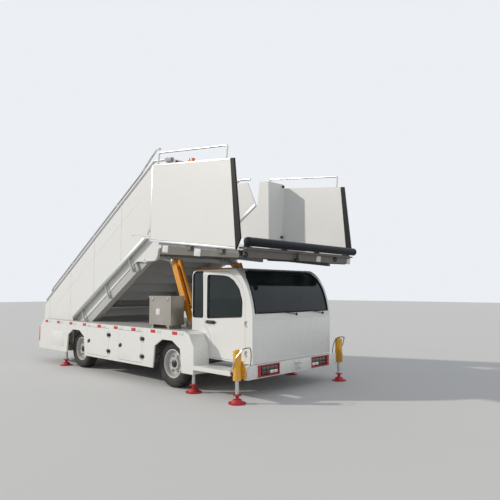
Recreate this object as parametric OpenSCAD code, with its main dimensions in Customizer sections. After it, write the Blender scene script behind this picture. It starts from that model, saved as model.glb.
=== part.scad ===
// Mobile aircraft stairs: a low deck truck with a telescoping stair flight,
// a hinged top platform with sliding side panels, two lift struts and six jacks.
// Millimetres. X points forward, Y to the driver's left, Z up.

/* [Chassis] */
// Distance between the axles
wheelbase = 2980; // [2920:10:3040]
// Overall width over the side skirts
body_w = 2500; // [2490:2:2520]
// Height of the deck's top above the ground
deck_z = 910; // [900:2:925]
// Thickness of the deck plate
deck_t = 30; // [20:1:35]
// Height of the skirts' lower edge
skirt_z = 284; // [270:2:300]
// Thickness of the skirts
skin_t = 25; // [20:1:30]
// Distance from the front axle back to the skirts' tail
tail_back = 4649; // [4600:5:4700]
// Height of the main rails' lower face
rail_z = 450; // [440:2:460]
// Depth of the main rails
rail_h = 140; // [120:2:160]
// Width of a main rail
rail_w = 60; // [50:2:70]
// Distance from the centre plane to a main rail's inner face
rail_y = 350; // [330:5:370]

/* [Wheels] */
// Radius of a tyre
tyre_r = 372; // [365:1:380]
// Width of a tyre
tyre_w = 205; // [195:1:215]
// Radius of a rim
rim_r = 222; // [210:1:235]
// Radius of a stub axle
stub_r = 35; // [30:1:40]
// Distance from the centre plane to a front wheel's middle
front_wheel_y = 1045; // [1035:1:1050]
// Distance from the centre plane to a rear wheel's middle
rear_wheel_y = 1030; // [1020:1:1040]
// Distance from the centre plane to a kingpin
kingpin_y = 930; // [925:1:935]
// Radius of a kingpin
kingpin_r = 20; // [16:1:24]

/* [Lockers] */
// Height of the locker doors' lower edge
locker_z = 332; // [320:2:345]
// Height of a locker door
locker_h = 506; // [480:2:508]
// Depth of the lockers behind the skirt
locker_depth = 300; // [200:10:340]

/* [Cab] */
// Half the cab's width up to the waist
cab_half = 940; // [936:1:944]
// Thickness of the cab's walls and doors
cab_wall = 40; // [30:1:45]
// Height of the roof's top
roof_z = 1885; // [1875:1:1890]
// Distance of the cab's front ahead of the front axle
cab_front = 1566; // [1560:1:1580]
// Thickness of the window glass
glass_t = 6; // [4:1:8]

/* [Stairs] */
// Slope of the flights above the horizontal
slope = 31.2; // [31:0.05:31.4]
// Distance along the slope from one nosing to the next
pitch = 332; // [330:0.5:334]
// Number of treads below the landing
tread_count = 12; // [12]
// Thickness of the treads
tread_t = 25; // [20:1:28]
// Half the width of the upper flight's treads
tread_half = 925; // [920:1:928]
// Thickness of the upper flight's cheeks
cheek_t = 50; // [40:1:54]
// Distance from a tread's end to the lower flight's side panel
panel_clear = 110; // [100:1:115]
// Thickness of the lower flight's side panels
panel_t = 25; // [20:1:28]
// Height above the ground of the flight's hinge
hinge_z = 400; // [396:1:404]
// Radius of the flight's hinge pins
pin_r = 25; // [20:1:28]

/* [Platform] */
// Length of the platform's side panels
side_len = 2006; // [1990:2:2020]
// Height of the platform's side panels
side_h = 1258; // [1230:2:1280]
// Distance from the centre plane to a side panel's inner face
side_y = 1345; // [1340:1:1350]
// Thickness of the platform's side panels
side_t = 25; // [20:1:30]
// Droop of the platform when it is parked
droop = 7; // [6.6:0.1:7.2]
// Radius of the platform's hinge pins
hinge_r = 20; // [16:1:24]
// Radius of the front bumper roll
roll_r = 62; // [56:1:66]

/* [Lift and jacks] */
// Distance from the centre plane to the middle of a strut
strut_y = 730; // [725:1:735]
// Radius of the strut pins
strut_pin_r = 25; // [22:1:28]
// Radius of a jack's rod
jack_rod_r = 26; // [22:1:30]
// Radius of a jack's foot
foot_r = 120; // [110:2:130]

/* [Hidden] */
$fn = 48;

// Clearances: round a hinged panel, round a turning pin, and at a sliding pad
panel_gap = 5;
pin_gap = 0.05;
pad_gap = 0.3;

half_w = body_w / 2;
skin_y = half_w - skin_t;
deck_under = deck_z - deck_t;
rail_top = rail_z + rail_h;
rail_out = rail_y + rail_w;
rear_x = -wheelbase;
tail_x = -tail_back;

// Places along the chassis, measured from the front axle
rail_front = 1440;
rail_back = -3190;
drop_x = -3400;
drop_z = 300;
drop_h = 120;
beam_xs = [-2700, -2080, -1570, -1070, -560, -100];
beam_w = 60;
beam_h = 50;
flange_y = 1150;
deck_rear = -2780;
cab_back = 240;
deck_front = cab_back - 5;
strip_back = tail_x + 180;
sill_w = 60;
sill_back = tail_x + 50;

// Axles and hubs: the hub's span is measured outwards from the wheel's middle plane
axle_z = tyre_r;
hub_in = -20;
hub_out = 40;
knuckle_web = 60;

// Steps of the front fender, in X and Z
fender = [[430, deck_z], [541, 869], [651, 690], [655, 388], [643, skirt_z]];
fender_t = 20;
fender_y = cab_half + 5;
board_x = 1440;
board_z = 420;

// Locker doors: rear edge and front edge of each, from the front axle
locker_xs = [[-2510, -1740], [-1405, -680]];
locker_top = locker_z + locker_h;
locker_back = skin_y - locker_depth;
tub_t = 4;
hinge_out = 16;
knuckle_r = 11;
hinge_pin_r = 6;
barrel_h = 50;

// Stair slope frame: G is where the nosing line passes the ground-end datum
foot_x = -4720;
foot_z = 219;
hinge_x = -4380;
first_u = 200;
run = pitch * cos(slope);
rise = pitch * sin(slope);
top_u = first_u + pitch * tread_count;
cheek_w = 200;
cheek_y = tread_half;
cheek_out = cheek_y + cheek_t;
runner_y = [tread_half - 75, tread_half - 35];
stringer_top = -cheek_w - 15;
stringer_low = -370;
stringer_y = [tread_half - 85, cheek_out - 5];
stringer_u = 4350;
flange_u = 3840;
panel_y = tread_half + panel_clear;
panel_out = panel_y + panel_t;
strip_y = panel_out + 15;
sill_y = panel_out + 25;
bracket_t = 30;
ground_gap = 240;
rest_x = -4830;

// Lift struts in the X-Z plane: B on the deck, T under the lower flight
strut_foot = [-20, deck_z + 70];
strut_head = [-490, 2030];
strut_lean = atan2(strut_head[1] - strut_foot[1], strut_head[0] - strut_foot[0]);
strut_len = norm(strut_head - strut_foot);
strut_half = 48;
ear_t = 25;
ear_gap = 5;
ear_r = 58;
head_pin_r = 22;
head_hole_r = 36;

// Platform hinge and local frame
plat_hinge = [-400, 2290];
plat_o = [-331, 2325];
lug_y = [tread_half - 43, tread_half - 10];
beam_y = [side_y - 95, side_y - 35];
wide_x = 175;
beam_back = 240;
inner_y = [tread_half - 125, tread_half - 65];
foot_gap = 0.1;
wall_y = [tread_half - 53, tread_half - 28];

// Stair landing ahead of the last nosing
landing_front = -320;
landing_drop = 4.2;

roll_x = side_len + 145;
roll_z = 124;
nose_x = plat_o[0] + roll_x * cos(droop) + roll_z * sin(droop) + roll_r;
front_axle_x = -(rest_x + nose_x) / 2;

// Moves a solid from the front-axle frame to the part's own origin
module at_axle() {
    translate([front_axle_x, 0, 0]) children();
}

// A block between two limits on each axis
module block(x0, x1, y0, y1, z0, z1) {
    translate([x0, y0, z0]) cube([x1 - x0, y1 - y0, z1 - z0]);
}

// An outline in X and Z, extruded from y0 to y1
module xz(points, y0, y1) {
    translate([0, y1, 0]) rotate([90, 0, 0]) linear_extrude(height = y1 - y0) polygon(points);
}

// An outline in Y and Z, extruded from x0 to x1
module yz(points, x0, x1) {
    translate([x0, 0, 0]) rotate([90, 0, 90]) linear_extrude(height = x1 - x0) polygon(points);
}

// An outline in X and Y, extruded from z0 to z1
module xy(points, z0, z1) {
    translate([0, 0, z0]) linear_extrude(height = z1 - z0) polygon(points);
}

// A round bar across the vehicle, from y0 to y1
module cross_bar(x, z, r, y0, y1) {
    translate([x, y0, z]) rotate([-90, 0, 0]) cylinder(r = r, h = y1 - y0);
}

// A round bar from point p to point q
module rod(p, q, r) {
    v = q - p;
    translate(p) rotate([0, acos(v[2] / norm(v)), atan2(v[1], v[0])]) cylinder(r = r, h = norm(v));
}

// A tube of round bars through a list of points, with slightly proud balls at the welded bends
module tube(points, r) {
    for (i = [1 : len(points) - 1]) rod(points[i - 1], points[i], r);
    for (i = [1 : len(points) - 2]) translate(points[i]) sphere(r = r + 0.8, $fn = 24);
}

// Both sides of the vehicle, from a solid modelled at +Y
module both_sides() {
    children();
    mirror([0, 1, 0]) children();
}

// One side: +1 keeps the left, -1 mirrors it to the right
module on_side(s) {
    mirror([0, s < 0 ? 1 : 0, 0]) children();
}

// Slope frame: X along the flight and Z square to it
module on_slope() {
    translate([foot_x, 0, foot_z]) rotate([0, -slope, 0]) children();
}

// Platform frame: X forward along the drooping floor
module on_platform() {
    translate([plat_o[0], 0, plat_o[1]]) rotate([0, droop, 0]) children();
}

// Strut frame: X along the strut from its foot pin to its head pin
module on_strut() {
    translate([strut_foot[0], 0, strut_foot[1]]) rotate([0, -strut_lean, 0]) children();
}

// Point on the slope frame, in X and Z
function slope_at(u, w) = [foot_x + u * cos(slope) - w * sin(slope),
    foot_z + u * sin(slope) + w * cos(slope)];

// Point on the platform frame, in X and Z
function plat_at(x, z) = [plat_o[0] + x * cos(droop) + z * sin(droop),
    plat_o[1] - x * sin(droop) + z * cos(droop)];

// A counter-clockwise outline drawn in by d
function inset(p, d) = [for (i = [0 : len(p) - 1])
    let (a = p[(i + len(p) - 1) % len(p)], b = p[i], c = p[(i + 1) % len(p)],
        u = (b - a) / norm(b - a), v = (c - b) / norm(c - b),
        m = [-u[1], u[0]], n = [-v[1], v[0]])
    b + d * (m + n) / (1 + m * n)];

// Points of a quadratic curve from a to c, bent towards b
function curve(a, b, c, steps) = [for (i = [0 : steps])
    let (t = i / steps) (1 - t) * (1 - t) * a + 2 * t * (1 - t) * b + t * t * c];

// Wheel arch round an axle at x
function arch(x) = [[x - 375, skirt_z - 10], [x + 375, skirt_z - 10], [x + 330, 640],
    [x + 130, 752], [x - 130, 752], [x - 330, 640]];

// Hinge on an upright axis at x, outside a wall at y: pins on the front side, barrel on the door
module hinge_pins(x, y, zs) {
    for (z = zs) translate([x, y + hinge_out, z]) {
        translate([0, 0, -barrel_h / 2 - 14]) cylinder(r = hinge_pin_r, h = barrel_h + 28);
        for (s = [-1, 1]) translate([0, 0, s * (barrel_h / 2 + 8)]) {
            translate([0, 0, -7]) cylinder(r = knuckle_r, h = 14);
            block(panel_gap / 2 + 1, 26, -hinge_out - 4, 4, -7, 7);
        }
    }
}

module hinge_barrels(x, y, zs) {
    for (z = zs) translate([x, y + hinge_out, z]) difference() {
        union() {
            translate([0, 0, -barrel_h / 2]) cylinder(r = knuckle_r, h = barrel_h);
            block(-26, -panel_gap / 2 - 1, -hinge_out - 4, 0, -barrel_h / 2, barrel_h / 2);
        }
        translate([0, 0, -barrel_h]) cylinder(r = hinge_pin_r + pin_gap, h = 2 * barrel_h);
    }
}

// Frame: two rails that drop ahead of the stairs' foot, cross-beams and the stair hinge pins
module chassis_frame() color("dimgray") at_axle() {
    both_sides() {
        block(rail_back - 40, rail_front, rail_y, rail_out, rail_z, rail_top);
        xz([[rail_back + 40, rail_z], [rail_back + 40, rail_top], [rail_back - 40, rail_top],
            [drop_x, drop_z + drop_h], [drop_x - 60, drop_z + drop_h], [drop_x - 60, drop_z],
            [drop_x, drop_z]], rail_y, rail_out);
        block(sill_back, drop_x, sill_y, sill_y + sill_w, drop_z, drop_z + drop_h);
        cross_bar(hinge_x, hinge_z, pin_r, panel_y - 35, sill_y + 10);
        for (x = [-3900, sill_back + 60])
            block(x - 30, x + 30, sill_y, sill_y + sill_w, drop_z + drop_h - 5, deck_under);
        for (x = beam_xs)
            block(x - beam_w / 2, x + beam_w / 2, rail_y, rail_out, rail_top - 5, deck_under);
        block(505, 555, rail_out - 5, 1100, rail_z - 20, rail_z + 40);
        block(1470, 1530, rail_y, 1160, 330, 450);
        block(rail_front - 5, 1535, rail_y, rail_out, 380, rail_z + 30);
    }
    for (x = beam_xs)
        block(x - beam_w / 2, x + beam_w / 2, -flange_y, flange_y, deck_under - beam_h, deck_under);
    block(drop_x - 60, drop_x, -sill_y - 5, sill_y + 5, drop_z, drop_z + drop_h);
    block(1470, 1530, -rail_y - 5, rail_y + 5, 380, 440);
}

// Deck plate with the strips beside the stairs and the ears of the lift struts
module deck() color("lightgray") at_axle() {
    block(deck_rear, deck_front, -skin_y, skin_y, deck_under, deck_z);
    both_sides() {
        block(strip_back, deck_rear + 5, strip_y, skin_y, deck_under, deck_z);
        block(deck_front - 5, fender[0][0], fender_y, skin_y, deck_under, deck_z);
        for (s = [-1, 1]) {
            y = strut_y + s * (strut_half + ear_gap + ear_t / 2);
            cross_bar(strut_foot[0], strut_foot[1], ear_r - 8, y - ear_t / 2, y + ear_t / 2);
            block(strut_foot[0] - ear_r + 8, strut_foot[0] + ear_r - 8, y - ear_t / 2, y + ear_t / 2,
                deck_z - 2, strut_foot[1]);
        }
        cross_bar(strut_foot[0], strut_foot[1], strut_pin_r,
            strut_y - strut_half - ear_gap - ear_t, strut_y + strut_half + ear_gap + ear_t);
    }
}

// One side skirt with its arches, locker openings, fender and running board, on the left
module skirt() {
    outline = [[tail_x, skirt_z], fender[4], fender[3], fender[2], fender[1], fender[0],
        [tail_x + 179, deck_z], [tail_x + 179, 883], [tail_x + 36, 745], [tail_x - 10, 677]];
    difference() {
        xz(outline, skin_y, half_w);
        for (x = [rear_x, 0]) xz(arch(x), skin_y - 10, half_w + 10);
        for (d = locker_xs) block(d[0] - panel_gap, d[1] + panel_gap, skin_y - 10, half_w + 10,
            locker_z - panel_gap, locker_top + panel_gap);
    }
    block(strip_back, deck_front, flange_y, skin_y + 2, deck_under - 25, deck_under);
    xz(concat(fender, [[623, skirt_z], [635, 388], [631, 682], [530, 852], [430, deck_under]]),
        fender_y, skin_y + 2);
    block(640, board_x, fender_y, skin_y + 2, board_z - fender_t, board_z);
    block(640, board_x, skin_y, half_w, board_z - 64, board_z);
    for (d = locker_xs)
        hinge_pins(d[1] + panel_gap / 2, half_w, [locker_z + 104, locker_z + 394]);
}

module skirt_right() color("white") at_axle() on_side(-1) skirt();

module skirt_left() color("white") at_axle() on_side(1) skirt();

// Open steel tubs behind the locker doors
module locker_boxes() color("silver") at_axle() both_sides() {
    for (d = locker_xs) difference() {
        block(d[0] - 20, d[1] + 20, locker_back, skin_y, locker_z - 20, deck_under - beam_h);
        block(d[0] - 20 + tub_t, d[1] + 20 - tub_t, locker_back + tub_t, skin_y + 1,
            locker_z - 20 + tub_t, deck_under - beam_h - tub_t);
    }
}

// A locker door between x0 and x1, on the left
module locker_door(x0, x1) {
    block(x0, x1, skin_y, half_w, locker_z, locker_top);
    hinge_barrels(x1 + panel_gap / 2, half_w, [locker_z + 104, locker_z + 394]);
}

module locker_door_front_right() color("white") at_axle() on_side(-1)
    locker_door(locker_xs[1][0], locker_xs[1][1]);

module locker_door_rear_right() color("white") at_axle() on_side(-1)
    locker_door(locker_xs[0][0], locker_xs[0][1]);

module locker_door_front_left() color("white") at_axle() on_side(1)
    locker_door(locker_xs[1][0], locker_xs[1][1]);

module locker_door_rear_left() color("white") at_axle() on_side(1)
    locker_door(locker_xs[0][0], locker_xs[0][1]);

// Bumper: a channel with two lamp openings and a tow jaw
bumper_x = 1592;
bumper_half = 1075;
bumper_z = [293, 486];
lamp_y = [390, 858];
tow_r = 16;
jaw_z = [345, 420];

module bumper() color("gainsboro") at_axle() {
    difference() {
        block(1535, bumper_x, -bumper_half, bumper_half, bumper_z[0], bumper_z[1]);
        block(1534, bumper_x - 25, -bumper_half + 25, bumper_half - 25,
            bumper_z[0] + 15, bumper_z[1] - 15);
        both_sides()
            block(1534, bumper_x + 1, lamp_y[0], lamp_y[1], bumper_z[0] + 12, bumper_z[1] - 12);
    }
    block(1535, bumper_x, -60, 60, jaw_z[0], jaw_z[1] + 20);
    difference() {
        for (z = jaw_z) block(bumper_x - 5, bumper_x + 85, -40, 40, z, z + 20);
        translate([bumper_x + 50, 0, bumper_z[0]]) cylinder(r = tow_r, h = 200);
    }
}

// Lamp housings: red frames, each round two rows of lenses set back in it
module lamps() color("firebrick") at_axle() both_sides() {
    difference() {
        block(1537, bumper_x + 6, lamp_y[0], lamp_y[1], bumper_z[0] + 12, bumper_z[1] - 12);
        block(bumper_x - 22, bumper_x + 7, lamp_y[0] + 18, lamp_y[1] - 60,
            bumper_z[0] + 32, bumper_z[1] - 32);
    }
    for (row = [0, 1], col = [0 : 3])
        translate([bumper_x - 24, lamp_y[0] + 70 + col * 88, bumper_z[0] + 68 + row * 58])
            rotate([0, 90, 0]) cylinder(r = 22, h = 16);
}

// Cab outlines: from the side in X and Z, from the front in Y and Z
cab_side = concat([[480, 500], [cab_front, 490]],
    curve([cab_front, 1197], [1500, 1690], [1197, roof_z - 22], 8),
    [[430, roof_z], [330, roof_z - 9], [266, roof_z - 45], [cab_back, roof_z - 115],
        [cab_back, 800], [480, 800]]);
roof_edge = [[cab_half, roof_z - 95], [cab_half - 14, roof_z - 43], [cab_half - 56, roof_z - 11],
    [cab_half - 130, roof_z + 1]];
cab_nose = concat([[-cab_half, 400], [cab_half, 400]], roof_edge,
    [for (i = [3 : -1 : 0]) [-roof_edge[i][0], roof_edge[i][1]]]);
cab_floor_z = [rail_top, rail_top + 40];
cab_door = [[710, 520], [1420, 520], [1420, 1420], [1368, 1580], [1255, 1712], [1110, 1795],
    [980, 1815], [555, 1818], [550, 980], [610, 945], [672, 860], [700, 740], [710, 600]];
door_window = [[1351, 1150], [1359, 1378], [1296, 1554], [1185, 1672], [1075, 1730], [965, 1748],
    [640, 1768], [611, 1745], [605, 1108]];
quarter_window = [[500, 1112], [500, 1826], [330, 1826], [288, 1808], [266, 1770], [266, 1112]];
door_y = [cab_half - 50, cab_half + 60];
glass_y = [cab_half - 240, cab_half + 60];
screen_y = cab_half - 60;
screen_side = [[screen_y, 1205], [screen_y - 4, 1560], [screen_y - 25, 1715], [screen_y - 90, 1800],
    [screen_y - 180, 1824]];
door_hinge_z = [640, 1060];

module cab_volume(d) {
    intersection() {
        xz(inset(cab_side, d), -cab_half - 60, cab_half + 60);
        yz(inset(cab_nose, d), 200, 1600);
    }
}

module cab_layer(d0, d1) {
    difference() {
        cab_volume(d0);
        cab_volume(d1);
    }
}

module windscreen_hole() {
    yz(concat([for (p = screen_side) p], [for (i = [4 : -1 : 0]) [-screen_side[i][0],
        screen_side[i][1]]]), 1180, cab_front + 20);
}

module rear_window_hole() {
    yz([[-600, 1150], [600, 1150], [600, 1700], [-600, 1700]], cab_back - 20, 400);
}

module quarter_window_holes() {
    both_sides() xz(quarter_window, glass_y[0], glass_y[1]);
}

// Cab shell: roof, pillars, floor and rear wall in one pressing, open at the doors
module cab_shell() color("white") at_axle() {
    difference() {
        union() {
            cab_layer(0, cab_wall);
            intersection() {
                cab_volume(1);
                block(470, 1600, -cab_half, cab_half, cab_floor_z[0], cab_floor_z[1]);
            }
        }
        block(430, cab_front - cab_wall, -cab_half + cab_wall, cab_half - cab_wall,
            400, cab_floor_z[0]);
        both_sides() xz(inset(cab_door, -panel_gap), door_y[0], door_y[1]);
        windscreen_hole();
        rear_window_hole();
        quarter_window_holes();
    }
    both_sides() hinge_pins(1420 + panel_gap / 2, cab_half, door_hinge_z);
}

module cab_glass() color("darkslategray", 0.5) at_axle() intersection() {
    cab_layer(6, 6 + glass_t);
    union() {
        windscreen_hole();
        rear_window_hole();
        quarter_window_holes();
    }
}

// One cab door, on the left: skin of the cab inside the door's outline
module door() {
    difference() {
        intersection() {
            cab_layer(0, cab_wall);
            xz(cab_door, door_y[0], door_y[1]);
        }
        xz(door_window, glass_y[0], glass_y[1]);
    }
    hinge_barrels(1420 + panel_gap / 2, cab_half, door_hinge_z);
    block(590, 760, cab_half - 5, cab_half + 28, 1038, 1058);
}

module cab_door_right() color("white") at_axle() on_side(-1) door();

module cab_door_left() color("white") at_axle() on_side(1) door();

module door_pane() {
    intersection() {
        cab_layer(14, 14 + glass_t);
        xz(door_window, glass_y[0], glass_y[1]);
    }
}

module door_glass_right() color("darkslategray", 0.5) at_axle() on_side(-1) door_pane();

module door_glass_left() color("darkslategray", 0.5) at_axle() on_side(1) door_pane();

// Dashboard with the steering column and wheel on the left
wheel_y = 420;
wheel_at = [1175, 1265];
wheel_tilt = 40;

module dashboard() color("dimgray") at_axle() {
    xz([[1380, cab_floor_z[1]], [1510, cab_floor_z[1]], [1510, 1120], [1420, 1175], [1330, 1140],
        [1320, 1040], [1400, 990]], -cab_half + cab_wall + 40, cab_half - cab_wall - 40);
    rod([1380, wheel_y, 1090], [wheel_at[0], wheel_y, wheel_at[1]], 26);
    translate([wheel_at[0], wheel_y, wheel_at[1]]) rotate([0, wheel_tilt - 90, 0]) {
        rotate_extrude() translate([200, 0]) circle(r = 13);
        cylinder(r = 48, h = 24, center = true);
        for (a = [0, 120, 240]) rotate([0, 0, a]) block(20, 195, -16, 16, -6, 6);
    }
}

// Two seats, each a pedestal, a cushion, a back and a headrest
module seats() color("dimgray") at_axle() both_sides() {
    block(700, 1000, 250, 510, cab_floor_z[1], 930);
    block(620, 1110, 150, 610, 925, 1040);
    xz([[600, 1000], [730, 1035], [620, 1560], [520, 1560]], 150, 610);
    xz([[545, 1555], [615, 1555], [600, 1720], [525, 1720]], 270, 490);
}

module power_unit() color("slategray") at_axle()
    block(-1500, -620, -rail_y, rail_y, rail_z - 60, deck_under - beam_h - 10);

// Steel toolbox on two bearers, on the right of the deck
box_x = [-630, -40];
box_y = [880, 1150];
box_z = [deck_z + 60, deck_z + 530];

module toolbox() color("silver") at_axle() on_side(-1) {
    block(box_x[0], box_x[1], box_y[0], box_y[1], box_z[0], box_z[1] - 30);
    block(box_x[0] - 8, box_x[1] + 8, box_y[0] - 8, box_y[1] + 8, box_z[1] - 32, box_z[1]);
    for (x = [box_x[0] + 80, box_x[1] - 80])
        block(x - 25, x + 25, box_y[0] + 10, box_y[1] - 10, deck_z, box_z[0] + 2);
}

// Front axle beam with kingpins, and leaf packs up to the rails
kingpin_boss = 48;
boss_r = 40;

module front_axle() color("dimgray") at_axle() {
    block(-45, 45, -kingpin_y + 50, kingpin_y - 50, 305, 375);
    both_sides() {
        block(-28, 28, kingpin_y - 55, kingpin_y - 22, axle_z - kingpin_boss + 6, 375);
        translate([0, kingpin_y, axle_z - kingpin_boss]) cylinder(r = boss_r, h = 2 * kingpin_boss);
        translate([0, kingpin_y, axle_z - kingpin_boss - 35])
            cylinder(r = kingpin_r, h = 2 * kingpin_boss + 70);
        block(-45, 45, rail_y, rail_out, 370, rail_z - 20);
        block(-420, 420, rail_y, rail_out, rail_z - 22, rail_z);
    }
}

module rear_axle() color("dimgray") at_axle() {
    cross_bar(rear_x, axle_z, 55, -(rear_wheel_y - 110), rear_wheel_y - 110);
    both_sides() {
        cross_bar(rear_x, axle_z, stub_r, rear_wheel_y - 200, rear_wheel_y + hub_out);
        block(rear_x - 35, rear_x + 35, rail_y, rail_out, axle_z + 30, rail_z - 20);
        block(rear_x - 170, rear_x + 240, rail_y, rail_out, rail_z - 22, rail_z);
    }
}

// One knuckle on the left: a fork round the axle boss and the stub axle
fork_t = 28;

module knuckle() {
    difference() {
        union() {
            for (z = [axle_z - kingpin_boss - 5 - fork_t, axle_z + kingpin_boss + 5]) {
                translate([0, kingpin_y, z]) cylinder(r = boss_r, h = fork_t);
                block(-boss_r, boss_r, kingpin_y, kingpin_y + knuckle_web, z, z + fork_t);
            }
            block(-boss_r, boss_r, kingpin_y + boss_r + 6, kingpin_y + knuckle_web + 6,
                axle_z - kingpin_boss - 5 - fork_t, axle_z + kingpin_boss + 5 + fork_t);
        }
        translate([0, kingpin_y, 0]) cylinder(r = kingpin_r + pin_gap, h = 2 * axle_z);
    }
    cross_bar(0, axle_z, stub_r, kingpin_y + knuckle_web, front_wheel_y + hub_out);
}

module knuckle_right() color("dimgray") at_axle() on_side(-1) knuckle();

module knuckle_left() color("dimgray") at_axle() on_side(1) knuckle();

// One tyre and one rim, with their outer face towards +Y
module tyre(x, y) {
    h = tyre_w / 2;
    translate([x, y, axle_z]) rotate([-90, 0, 0]) rotate_extrude($fn = 96)
        polygon([[rim_r, -h + 22], [rim_r + 30, -h + 3], [rim_r + 75, -h], [tyre_r - 30, -h + 5],
            [tyre_r - 8, -h + 18], [tyre_r, -h + 38], [tyre_r, h - 38], [tyre_r - 8, h - 18],
            [tyre_r - 30, h - 5], [rim_r + 75, h], [rim_r + 30, h - 3], [rim_r, h - 22]]);
}

module rim(x, y) {
    h = tyre_w / 2 - 22;
    translate([x, y, axle_z]) rotate([-90, 0, 0]) {
        rotate_extrude($fn = 72) polygon([[rim_r - 24, -h], [rim_r, -h], [rim_r, h],
            [rim_r - 14, h], [rim_r - 24, h - 20], [rim_r - 30, 20], [rim_r - 60, 32],
            [110, 22], [95, hub_out + 12], [0, hub_out + 12], [0, hub_out + 5],
            [stub_r + pin_gap, hub_out + 5], [stub_r + pin_gap, hub_in], [78, hub_in],
            [78, 8], [rim_r - 62, 18], [rim_r - 24, 5]]);
        for (a = [0 : 60 : 300]) rotate([0, 0, a]) translate([130, 0, 20]) cylinder(r = 13, h = 22);
    }
}

module tyre_front_right() color("black") at_axle() on_side(-1) tyre(0, front_wheel_y);

module tyre_front_left() color("black") at_axle() on_side(1) tyre(0, front_wheel_y);

module tyre_rear_right() color("black") at_axle() on_side(-1) tyre(rear_x, rear_wheel_y);

module tyre_rear_left() color("black") at_axle() on_side(1) tyre(rear_x, rear_wheel_y);

module rim_front_right() color("silver") at_axle() on_side(-1) rim(0, front_wheel_y);

module rim_front_left() color("silver") at_axle() on_side(1) rim(0, front_wheel_y);

module rim_rear_right() color("silver") at_axle() on_side(-1) rim(rear_x, rear_wheel_y);

module rim_rear_left() color("silver") at_axle() on_side(1) rim(rear_x, rear_wheel_y);

// Jacks: X and Y of each pair, and the heights of the fixed body
front_jack = [1547, 1222];
middle_jack = [545, 1150];
rear_jack = [-3480, 1186];
jack_z = [310, 690];

// A jack's hollow body, with the rod's guide bushes at its mouth
module jack_body(at, r) {
    translate([at[0], at[1], 0]) difference() {
        translate([0, 0, jack_z[0]]) cylinder(r = r, h = jack_z[1] - jack_z[0]);
        translate([0, 0, jack_z[0] - 1]) cylinder(r = jack_rod_r + pin_gap, h = jack_z[1] - jack_z[0] - 9);
    }
}

module jack_bodies() color("orange") at_axle() both_sides() {
    jack_body(front_jack, 58);
    xz([[1470, 330], [1660, 330], [1660, 470], [1600, 560], [1547, 560], [1500, 450], [1470, 450]],
        1160, 1172);
    block(1545, 1551, 1160, 1190, 330, 560);
    jack_body(middle_jack, 45);
    block(515, 575, 1100, 1112, rail_z - 20, rail_z + 40);
    jack_body(rear_jack, 38);
    block(-3510, -3450, sill_y + sill_w, sill_y + sill_w + 12, drop_z + 15, drop_z + drop_h - 5);
}

// Two jack legs of a pair: rods with stepped feet on the ground
module jack_legs(at, top) {
    both_sides() translate([at[0], at[1], 0]) {
        cylinder(r = foot_r, h = 18);
        translate([0, 0, 18]) cylinder(r1 = foot_r - 30, r2 = 55, h = 42, $fn = 48);
        translate([0, 0, 110]) cylinder(r = 58, h = 14);
        translate([0, 0, 40]) cylinder(r = jack_rod_r, h = top - 40);
    }
}

module jack_legs_front() color("silver") at_axle() jack_legs(front_jack, 390);

module jack_legs_middle() color("silver") at_axle() jack_legs(middle_jack, 390);

module jack_legs_rear() color("silver") at_axle() jack_legs(rear_jack, 390);

// Side panels of the lower flight, with the hinge eyes at their tails
panel_w = 905;
panel_outline = [[rest_x, 300], [-3760, 300], [-3480, 450], [-3480, 890], [-3510, 920],
    [-920, 2426], [-800, 2590], [-690, 2890], [-215, 3190], [-448, 3690],
    slope_at(5224, panel_w), slope_at(688, panel_w), [rest_x, 1210]];

module lower_side_panels() color("white") at_axle() both_sides() {
    difference() {
        union() {
            xz(panel_outline, panel_y, panel_out);
            cross_bar(hinge_x, hinge_z, 60, panel_y - 30, panel_out);
        }
        cross_bar(hinge_x, hinge_z, pin_r + pin_gap, panel_y - 100, panel_out + 50);
    }
}

// Lower flight: stringers, the steps that show when the stairs extend, brackets and strut ears
lower_w = -195;
lower_first_u = 560;
lower_treads = 6;
bracket_us = [760, 1780, 2800, 3740];
pad_us = [1900, 2900, 3900];

module lower_steps() color("silver") at_axle() {
    both_sides() {
        difference() {
            on_slope() {
                block(150, flange_u, stringer_y[0], stringer_y[1], stringer_low, stringer_top);
                block(150, stringer_u, stringer_y[0], cheek_y - 5, stringer_low, stringer_top);
            }
            block(rest_x - 300, -3500, 0, 2000, -400, ground_gap);
        }
        on_slope() for (u = bracket_us) {
            block(u - 12, u + 12, stringer_y[1] - 5, panel_y, stringer_low + 30, stringer_low + 110);
            block(u - 12, u + 12, panel_y - bracket_t, panel_y, stringer_low + 30, 20);
        }
        on_slope() for (u = pad_us)
            block(u, u + 120, runner_y[0], runner_y[1], stringer_top - 2, -cheek_w - pad_gap);
        for (s = [-1, 1]) {
            y = strut_y + s * (strut_half + ear_gap + ear_t / 2);
            strut_ear(y);
        }
        cross_bar(strut_head[0], strut_head[1], head_pin_r,
            strut_y - strut_half - ear_gap - ear_t, strut_y + strut_half + ear_gap + ear_t);
    }
    on_slope() {
        block(stringer_u - 120, stringer_u, -stringer_y[0] - 5, stringer_y[0] + 5,
            stringer_low - 30, stringer_low + 90);
        for (i = [0 : lower_treads - 1]) translate([lower_first_u + i * pitch, 0, lower_w])
            rotate([0, slope, 0]) {
                block(0, run + 12, -stringer_y[0] - 5, stringer_y[0] + 5, -tread_t, 0);
                if (i > 0) block(0, 8, -stringer_y[0] - 5, stringer_y[0] + 5, -rise - 3, -tread_t + 2);
            }
    }
}

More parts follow.
